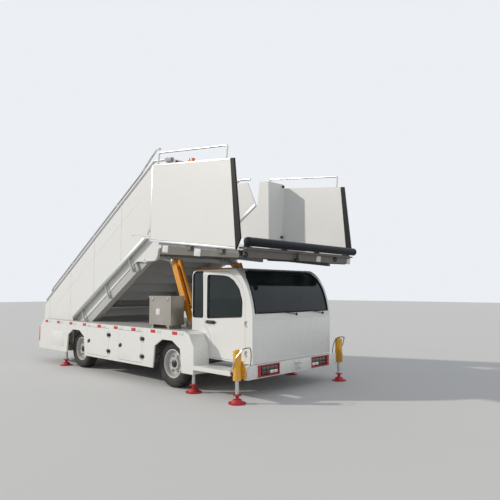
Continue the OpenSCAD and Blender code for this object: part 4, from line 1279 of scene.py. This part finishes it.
@dataclass
class JackTrim:
    """Caps, hydraulic pipes and clamps of the jacks."""

    front: Flat = (1.547, 1.222)
    top: float = 0.690
    collar_zs: Point = (0.335, 0.500, 0.640)

    def build(self) -> None:
        """Builds the jacks' fittings."""
        self._caps().piece("jack_caps", "jack_enamel")
        self._pipes().piece("jack_pipes", "handrail_steel")
        self._hoses().piece("jack_hoses", "gasket_rubber")
        self._bolts().piece("jack_bolts", "bolt_steel")

    def _caps(self) -> Shape:
        """The stepped cap of each front jack, and the rings round its body."""
        shape = Shape()
        x, y = self.front
        shape.turned([(0.0, 0.058), (0.004, 0.061), (0.014, 0.061), (0.022, 0.050), (0.024, 0.030),
                      (0.036, 0.030), (0.038, 0.0)], (x, y, self.top - 0.002), (0, 0, 1), 32)
        for z in self.collar_zs:
            shape.turned([(0.0, 0.057), (0.003, 0.0615), (0.017, 0.0615), (0.020, 0.057)],
                         (x, y, z), (0, 0, 1), 32, hollow=True)
        return shape.mirrored()

    def _pipes(self) -> Shape:
        """The bright pipe that rises past each front jack to the cab's corner."""
        x, y = self.front
        route = [(x - 0.050, y + 0.070, 0.440), (x + 0.045, y + 0.070, 0.620),
                 (x + 0.110, y + 0.010, 0.735)]
        shape = Shape().pipe(route, 0.009, 10, 0.03)
        for spot in (route[0], route[-1]):
            shape.turned([(-0.009, 0.0), (-0.009, 0.0125), (0.009, 0.0125), (0.009, 0.0)], spot,
                         (0.3, 0.2, 1), 6)
        return shape.mirrored()

    def _hoses(self) -> Shape:
        """Hoses from the bright pipe back to the bumper, and into the jack's side."""
        x, y = self.front
        over = [(x + 0.110, y + 0.010, 0.735), (x + 0.112, y - 0.090, 0.752),
                (x + 0.080, y - 0.180, 0.735), (x + 0.050, y - 0.225, 0.640),
                (x + 0.030, y - 0.235, 0.484)]
        down = [(x - 0.050, y + 0.070, 0.440), (x - 0.055, y + 0.064, 0.400),
                (x - 0.034, y + 0.044, 0.372)]
        return Shape().pipe(over, 0.0065, 8, 0.05).pipe(down, 0.0065, 8, 0.02).mirrored()

    def _bolts(self) -> Shape:
        """Bolts through the brackets of every jack."""
        shape = Shape()
        for x, z in ((1.625, 0.360), (1.625, 0.430), (1.580, 0.520)):
            shape.bolt((x, 1.171, z), (0, 1, 0), 0.010)
        for x, y, z in ((0.530, 1.111, 0.460), (-3.495, 1.156, 0.345), (-3.495, 1.156, 0.390)):
            shape.bolt((x, y, z), (0, 1, 0), 0.008)
        return shape.mirrored()


@dataclass
class ToolboxTrim:
    """Blank plate and catches of the toolbox."""

    plate_half: float = 0.0525
    plate_z: Flat = (1.130, 1.230)
    catch_half: float = 0.020


    def build(self) -> None:
        """Builds the toolbox's fittings."""
        low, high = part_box("toolbox")
        face = low.y
        middle = (low.x + high.x) / 2 - 0.05
        bottom, top = self.plate_z
        plate = Shape().box((middle - self.plate_half, face + 0.004, bottom),
                            (middle + self.plate_half, face + 0.0075, top), 0.001)
        plate.piece("toolbox_plate", "sign_white", place=Matrix.Identity(4))
        shape = Shape()
        for x in (low.x + 0.10, high.x - 0.10):
            shape.box((x - self.catch_half, face + 0.0005, high.z - 0.085),
                      (x + self.catch_half, face + 0.009, high.z - 0.030), 0.003)
        shape.piece("toolbox_catches", "bolt_steel", place=Matrix.Identity(4))


@dataclass
class FlightTrim:
    """Panel joints, pressed creases, nosings and side strips of both flights."""

    pitch: float = 0.332
    first: float = 0.200
    treads: int = 12
    tread_half: float = 0.925
    panel: float = 1.060
    joint_xs: tuple[float, ...] = (-4.590, -3.630, -2.670, -1.700, -0.760)
    foot: tuple[Flat, ...] = ((-4.830, 0.300), (-3.760, 0.300), (-3.520, 0.430), (-3.510, 0.920),
                              (-0.920, 2.426), (-0.800, 2.590), (-0.690, 2.890), (-0.215, 3.190))
    profile: float = 0.060
    panel_height: float = 0.905
    joint_top: float = 3.60

    def build(self) -> None:
        """Builds the flights' trim."""
        self._creases().piece("panel_creases", "white_panel", "lower_flight", place=FLIGHT)
        self._joints().piece("panel_joints", "grey_plastic", "lower_flight")
        self._edge_channels().piece("panel_channels", "zinc_coat", "lower_flight")
        self._nosings(0.0, 0.030).piece("step_nosings", "trim_aluminium", "upper_flight")
        self._nosings(0.010, 0.022).piece("step_grips", "gasket_rubber", "upper_flight")

    def panel_top(self, x: float) -> float:
        """Height of a side panel's sloping upper edge."""
        rise = math.tan(math.radians(SLOPE))
        return (FLIGHT_FOOT[1] + self.panel_height / math.cos(math.radians(SLOPE))
                + (x - FLIGHT_FOOT[0]) * rise)

    def panel_foot(self, x: float) -> float:
        """Height of a side panel's lower edge."""
        return between(self.foot, x)

    def _creases(self) -> Shape:
        """A pressed line along each side panel, below its bright rail."""
        y = self.panel
        shape = Shape().box((0.86, y - 0.001, 0.628), (5.05, y + 0.0022, 0.636), 0.0015)
        return shape.mirrored()

    def _joints(self) -> Shape:
        """Upright joints between the sheets of the side panels."""
        shape = Shape()
        for x in self.joint_xs:
            top = min(self.panel_top(x), self.joint_top)
            shape.box((x - 0.002, self.panel - 0.001, self.panel_foot(x) + 0.02),
                      (x + 0.002, self.panel + 0.0008, top - 0.02), 0.0003)
        return shape.mirrored()

    def _edge_channels(self) -> Shape:
        """Folded zinc-coated channels along the slanting lower edges of the side panels."""
        shape = Shape()
        for start, end in ((self.foot[3], self.foot[4]), (self.foot[6], self.foot[7])):
            way = Vector((end[0] - start[0], end[1] - start[1])).normalized()
            up = (-way.y * self.profile, way.x * self.profile)
            strip = [(start[0] + 0.02 * way.x, start[1] + 0.02 * way.y), end,
                     (end[0] + up[0], end[1] + up[1]),
                     (start[0] + 0.02 * way.x + up[0], start[1] + 0.02 * way.y + up[1])]
            shape.plate(strip, self.panel - 0.002, self.panel + 0.004, 0.0015)
            shape.plate(strip, self.panel - 0.029, self.panel - 0.023, 0.0015)
        return shape.mirrored()

    def _nosings(self, inset: float, depth: float) -> Shape:
        """Strips along the front edges of the treads.

        Args:
            inset: how far behind the tread's edge the strip starts.
            depth: the strip's width.

        Returns:
            The shape.
        """
        shape = Shape()
        lift = 0.0015 if inset else 0.0
        for i in range(self.treads + 1):
            along = self.first + self.pitch * i
            x = FLIGHT_FOOT[0] + along * math.cos(math.radians(SLOPE))
            z = FLIGHT_FOOT[1] + along * math.sin(math.radians(SLOPE))
            half = self.tread_half - 0.012 - inset
            shape.box((x - 0.003 + inset, -half, z - 0.001),
                      (x + depth + inset, half, z + 0.0022 + lift), 0.001)
            if not inset:
                shape.box((x - 0.003, -half, z - 0.024), (x, half, z + 0.001), 0.001)
        return shape


@dataclass
class PlatformTrim:
    """Plates, sensors, camera, lamps and edgings of the platform and its side panels."""

    length: float = 2.006
    height: float = 1.258
    side_out: float = 1.370
    beam_out: float = 1.310
    beam_face: float = 2.094
    roll_end: float = 1.338
    lean: float = 0.264
    wall: tuple[Flat, ...] = ((2.261, 0.1891), (3.588, 0.2570))
    plate_xs: Flat = (0.353, 1.146)
    plate_half: float = 0.073
    latch_zs: Flat = (2.560, 3.545)
    grip_zs: Flat = (2.800, 3.210)
    globe: float = 0.040

    def build(self) -> None:
        """Builds the platform's fittings."""
        self._squares().piece("beam_plates", "sign_white", "platform", place=PLATFORM)
        # the fascia takes the same dark grey with the painted shade under the platform
        self._fascia().piece("beam_fascia", "beam_grey_painted_shade", "platform", place=PLATFORM)
        self._lamps().piece("beam_lamps", "sign_white", "platform", place=PLATFORM)
        self._sensors().piece("beam_sensors", "black_plastic", "platform", place=PLATFORM)
        self._globe().piece("beam_camera", "black_plastic", "platform", place=PLATFORM)
        self._roll_plugs().piece("roll_plugs", "gasket_rubber", "platform", place=PLATFORM)
        self._latches().piece("wall_latches", "black_plastic", "platform")
        self._grips().piece("wall_grips", "white_panel", "platform")
        for side in Side:
            name = side.label
            body = f"side_panel_{name}"
            self._edging().piece(f"panel_edging_{name}", "trim_aluminium", body, place=PLATFORM,
                                 side=side, slot="stainless")
            # a thin black strip that paints the shadow line above the panel's foot edging
            self._lower_gasket().piece(f"panel_gasket_{name}", "gasket_rubber", body,
                                       place=PLATFORM, side=side)
        self._floodlight().piece("floodlight", "grey_plastic", "side_panel_right", place=PLATFORM,
                                 side=Side.RIGHT)
        self._flood_lens().piece("floodlight_lens", "lens_clear", "side_panel_right",
                                 place=PLATFORM, side=Side.RIGHT)
        self._beacon().piece("beacon", "beacon_orange", "side_panel_right", place=PLATFORM,
                             side=Side.RIGHT)

    def _squares(self) -> Shape:
        """Blank square plates on the side beams."""
        shape = Shape()
        y = self.beam_out
        for x in self.plate_xs:
            shape.box((x - self.plate_half, y - 0.001, -0.150),
                      (x + self.plate_half, y + 0.004, -0.041), 0.0015)
        return shape.mirrored()

    def _fascia(self) -> Shape:
        """The folded plate along the front beam, under the roll."""
        x = self.beam_face
        fold = [(x - 0.060, -0.0915), (x, -0.0915), (x, 0.052), (x - 0.054, 0.052),
                (x - 0.054, 0.048), (x - 0.004, 0.048), (x - 0.004, -0.0875),
                (x - 0.060, -0.0875)]
        return Shape().plate(fold, -self.beam_out, self.beam_out, 0.001)

    def _lamps(self) -> Shape:
        """Two square work lamps on the left half of the front beam."""
        shape, x = Shape(), self.beam_face
        for y_low, y_high, z_low in ((0.340, 0.450, -0.084), (1.208, 1.308, -0.090)):
            shape.box((x - 0.002, y_low, z_low), (x + 0.010, y_high, z_low + 0.092), 0.003)
            shape.box((x + 0.008, y_low + 0.012, z_low + 0.012),
                      (x + 0.013, y_high - 0.012, z_low + 0.080), 0.002)
        return shape

    def _sensors(self) -> Shape:
        """A round distance sensor on the left of the front beam and a square one on the right."""
        rim = [(0.0, 0.040), (0.014, 0.040), (0.020, 0.034), (0.012, 0.026), (0.010, 0.0)]
        x = self.beam_face
        shape = Shape().turned(rim, (x - 0.001, 0.859, -0.027), (1, 0, 0), 32)
        shape.box((x - 0.001, -1.3075, -0.0975), (x + 0.012, -1.2325, -0.0225), 0.004)
        return shape.turned(rim, (x + 0.010, -1.270, -0.060), (1, 0, 0), 32)

    def _globe(self) -> Shape:
        """The camera globe that hangs in front of the front beam, on its bracket."""
        x, y = self.beam_face + 0.046, -0.190
        shape = Shape().box((x - 0.050, y - 0.060, 0.020), (x + 0.016, y + 0.060, 0.028), 0.002)
        shape.box((x - 0.010, y - 0.012, -0.050), (x + 0.010, y + 0.012, 0.024), 0.002)
        ball = [(self.globe * math.cos(a), self.globe * math.sin(a))
                for a in (math.pi * i / 10 for i in range(11))]
        return shape.turned(ball, (x, y, -0.084), (0, 0, 1), 24)

    def _roll_plugs(self) -> Shape:
        """Rubber plugs in the ends of the front roll."""
        plug = [(0.0, 0.026), (0.002, 0.026), (0.003, 0.022), (0.003, 0.0)]
        return Shape().turned(plug, (2.151, self.roll_end - 0.001, 0.124), (0, 1, 0), 28).mirrored()

    def _latches(self) -> Shape:
        """Small latches between the return walls and the side panels, low and high."""
        shape = Shape()
        for z in self.latch_zs:
            x = between(self.wall, z)
            shape.box((x - 0.004, 1.276, z - 0.022), (x + 0.022, 1.329, z + 0.022), 0.003)
            shape.turned([(0.0, 0.011), (0.016, 0.011), (0.018, 0.008), (0.018, 0.0)],
                         (x + 0.020, 1.300, z), (1, 0, 0), 16)
        return shape.mirrored()

    def _grips(self) -> Shape:
        """The pressed rim round each return wall's grip."""
        foot, top = self.grip_zs
        low, high = between(self.wall, foot), between(self.wall, top)
        loop = [(low, 1.060, foot), (low, 1.130, foot), (high, 1.130, top), (high, 0.990, top),
                (low, 0.990, foot), (low, 1.060, foot)]
        return Shape().pipe(loop, 0.0045, 8, 0.03).mirrored()

    def _edging(self) -> Shape:
        """Folded metal edges along the foot, the top and the tail of a side panel."""
        y, top = self.side_out, self.height
        shape = Shape().box((-0.014, y - 0.001, 0.002),
                            (self.length - 0.008, y + 0.0015, 0.030), 0.001)
        front = self.length - self.lean
        shape.plate([(-0.124, top - 0.024), (front + 0.003, top - 0.024),
                     (front - 0.001, top - 0.001), (-0.126, top - 0.001)],
                    y - 0.001, y + 0.0015, 0.001)
        return shape.plate([(-0.0147, 0.030), (0.008, 0.030), (-0.101, top - 0.024),
                            (-0.1235, top - 0.024)], y - 0.001, y + 0.0015, 0.001)

    def _lower_gasket(self) -> Shape:
        """A thin black strip above the foot edging of a side panel: a painted shadow line under the
        panel's edge.
        """
        y = self.side_out
        return Shape().box((-0.010, y - 0.001, 0.031),
                           (self.length - 0.010, y + 0.001, 0.036), 0.0004)

    def _floodlight(self) -> Shape:
        """A floodlight on a foot, on the top edge of the right side panel."""
        top = self.height
        shape = Shape().box((0.240, 1.335, top - 0.002), (0.370, 1.370, top + 0.006), 0.002)
        shape.box((0.285, 1.345, top + 0.004), (0.325, 1.365, top + 0.030), 0.002)
        return shape.box((0.235, 1.310, top + 0.024), (0.375, 1.371, top + 0.100), 0.006)

    def _flood_lens(self) -> Shape:
        """The floodlight's window, which faces in over the steps."""
        top = self.height
        return Shape().box((0.245, 1.307, top + 0.033), (0.365, 1.312, top + 0.091), 0.002)

    def _beacon(self) -> Shape:
        """A low orange beacon on the top edge of the right side panel."""
        top = self.height
        shape = Shape().box((0.790, 1.312, top - 0.002), (0.930, 1.371, top + 0.012), 0.003)
        dome = [(0.0, 0.031), (0.028, 0.031), (0.044, 0.026), (0.050, 0.012), (0.051, 0.0)]
        for x in (0.825, 0.860, 0.895):
            shape.turned(dome, (x, 1.340, top + 0.010), (0, 0, 1), 24)
        return shape


@dataclass
class LiftTrim:
    """Pin heads and hoses of the lift struts."""

    strut_y: float = 0.730
    foot: Flat = STRUT_FOOT
    head: Flat = (-0.490, 2.030)
    ear_out: float = 0.078

    def build(self) -> None:
        """Builds the struts' fittings."""
        self._pins(self.foot).piece("strut_foot_pins", "bolt_steel")
        self._pins(self.head).piece("strut_head_pins", "bolt_steel", "lower_flight")
        self._hoses().piece("strut_pipes", "gasket_rubber", "strut_sleeves", place=STRUT)

    def _pins(self, spot: Flat) -> Shape:
        """Pin heads with their locking plates, on both faces of both struts."""
        shape = Shape()
        for way in (-1, 1):
            y = self.strut_y + way * self.ear_out
            shape.turned([(0.0, 0.033), (0.008, 0.033), (0.011, 0.028), (0.011, 0.0)],
                         (spot[0], y, spot[1]), (0, way, 0), 28)
            shape.bolt((spot[0], y + way * 0.010, spot[1]), (0, way, 0), 0.009)
        return shape.mirrored()

    def _hoses(self) -> Shape:
        """Steel-backed pipes clipped along each cylinder."""
        y = self.strut_y
        shape = Shape()
        for dy in (-0.0425, 0.0425):
            route = [(0.30, y + dy, -0.128), (0.60, y + dy, -0.134), (0.98, y + dy, -0.128),
                     (1.030, y + dy * 0.8, -0.108)]
            shape.pipe(route, 0.008, 8, 0.05)
        for x in (0.40, 0.66, 0.92):
            shape.box((x - 0.010, y - 0.050, -0.136), (x + 0.010, y + 0.050, -0.124), 0.002)
        return shape.mirrored()


@dataclass
class Seats:
    """Two seats with crowned, channelled cushions, backs and headrests on pedestals."""

    grid: int = 14
    rounding: float = 5.0
    seam: float = 0.55

    def build(self) -> None:
        """Builds both seats in place of the plain ones."""
        for side in Side:
            name = side.label
            pedestal = self._pedestal().piece(f"seat_base_{name}", "black_plastic", side=side)
            if side is Side.RIGHT:
                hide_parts("seats")
            parts = {
                "cushion": ((0.865, 0.380, 0.985), (0.245, 0.230, 0.055), 4.0, 0.4),
                "back": ((0.628, 0.380, 1.290), (0.060, 0.225, 0.275), -13.0, 0.5),
                "headrest": ((0.566, 0.380, 1.635), (0.042, 0.115, 0.078), -13.0, 0.6)}
            for part, (middle, half, lean, fill) in parts.items():
                place = VEHICLE @ Matrix.Translation(middle) @ Matrix.Rotation(
                    math.radians(lean), 4, "Y")
                shape = self._pad(half, part != "headrest")
                pad = shape.piece(f"seat_{part}_{name}", "seat_vinyl", place=place)
                if side is Side.RIGHT:
                    pad.data.transform(Matrix.Diagonal((1, -1, 1, 1)))
                    pad.data.flip_normals()

    def _pedestal(self) -> Shape:
        """The seat's frame, pan and recliner plates."""
        shape = Shape().box((0.700, 0.250, 0.630), (1.000, 0.510, 0.905), 0.012)
        shape.box((0.640, 0.170, 0.900), (1.090, 0.590, 0.935), 0.010)
        for y in (0.150, 0.600):
            shape.plate([(0.620, 0.930), (0.760, 0.930), (0.740, 1.060), (0.690, 1.130),
                         (0.650, 1.120)], y, y + 0.010, 0.003)
        for y in (0.345, 0.415):
            shape.pipe([(0.590, y, 1.520), (0.575, y, 1.600)], 0.006, 8)
        return shape

    def _pad(self, half: Point, channels: bool) -> Shape:
        """A crowned pad with a piped edge and sewn channels.

        Args:
            half: half its length, width and height.
            channels: whether it has sewn channels.

        Returns:
            The shape, about its own middle.
        """
        thin = min(range(3), key=lambda axis: half[axis])
        wide = [axis for axis in range(3) if axis != thin]
        shape = Shape()
        bmesh.ops.create_cube(shape.mesh, size=2.0)
        bmesh.ops.subdivide_edges(shape.mesh, edges=shape.mesh.edges[:], cuts=self.grid,
                                  use_grid_fill=True)
        for vert in shape.mesh.verts:
            p = [abs(c) ** self.rounding for c in vert.co]
            round_off = (sum(p)) ** (-1 / self.rounding)
            q = [c * round_off for c in vert.co]
            a, b = q[wide[0]], q[wide[1]]
            crown = 1.0 + 0.16 * (1 - a * a) * (1 - b * b) - 0.10
            waist = 1.0 - 0.035 * (1 - abs(q[thin]) ** 2) * (1 - min(abs(a), abs(b)))
            groove = 0.0
            if channels and abs(q[thin]) > 0.5:
                along = q[wide[0]] if wide[0] != 1 else q[wide[1]]
                groove = sum(0.16 * math.exp(-((q[1] - line) / 0.045) ** 2)
                             for line in (-self.seam, self.seam))
                if abs(q[1]) < self.seam:
                    groove += 0.12 * math.exp(-((along - 0.1) / 0.05) ** 2)
            scaled = [0.0, 0.0, 0.0]
            for axis in range(3):
                factor = crown - groove if axis == thin else waist
                scaled[axis] = q[axis] * half[axis] * factor
            vert.co = scaled
        return shape


def main() -> None:
    """Builds the studio and every sub-assembly in order."""
    logging.basicConfig(level=logging.INFO, format="%(name)s: %(message)s")
    Studio().build()
    FINISHES.update(mix_finishes())
    Paintwork().build()
    for axle in ("front", "rear"):
        for side in Side:
            Wheel(axle, side).build()
    for side in Side:
        SkirtTrim(side).build()
    for trim in (CabTrim, BumperTrim, JackTrim, ToolboxTrim, FlightTrim, PlatformTrim, LiftTrim,
                 Seats):
        trim().build()


if __name__ == "__main__":
    main()
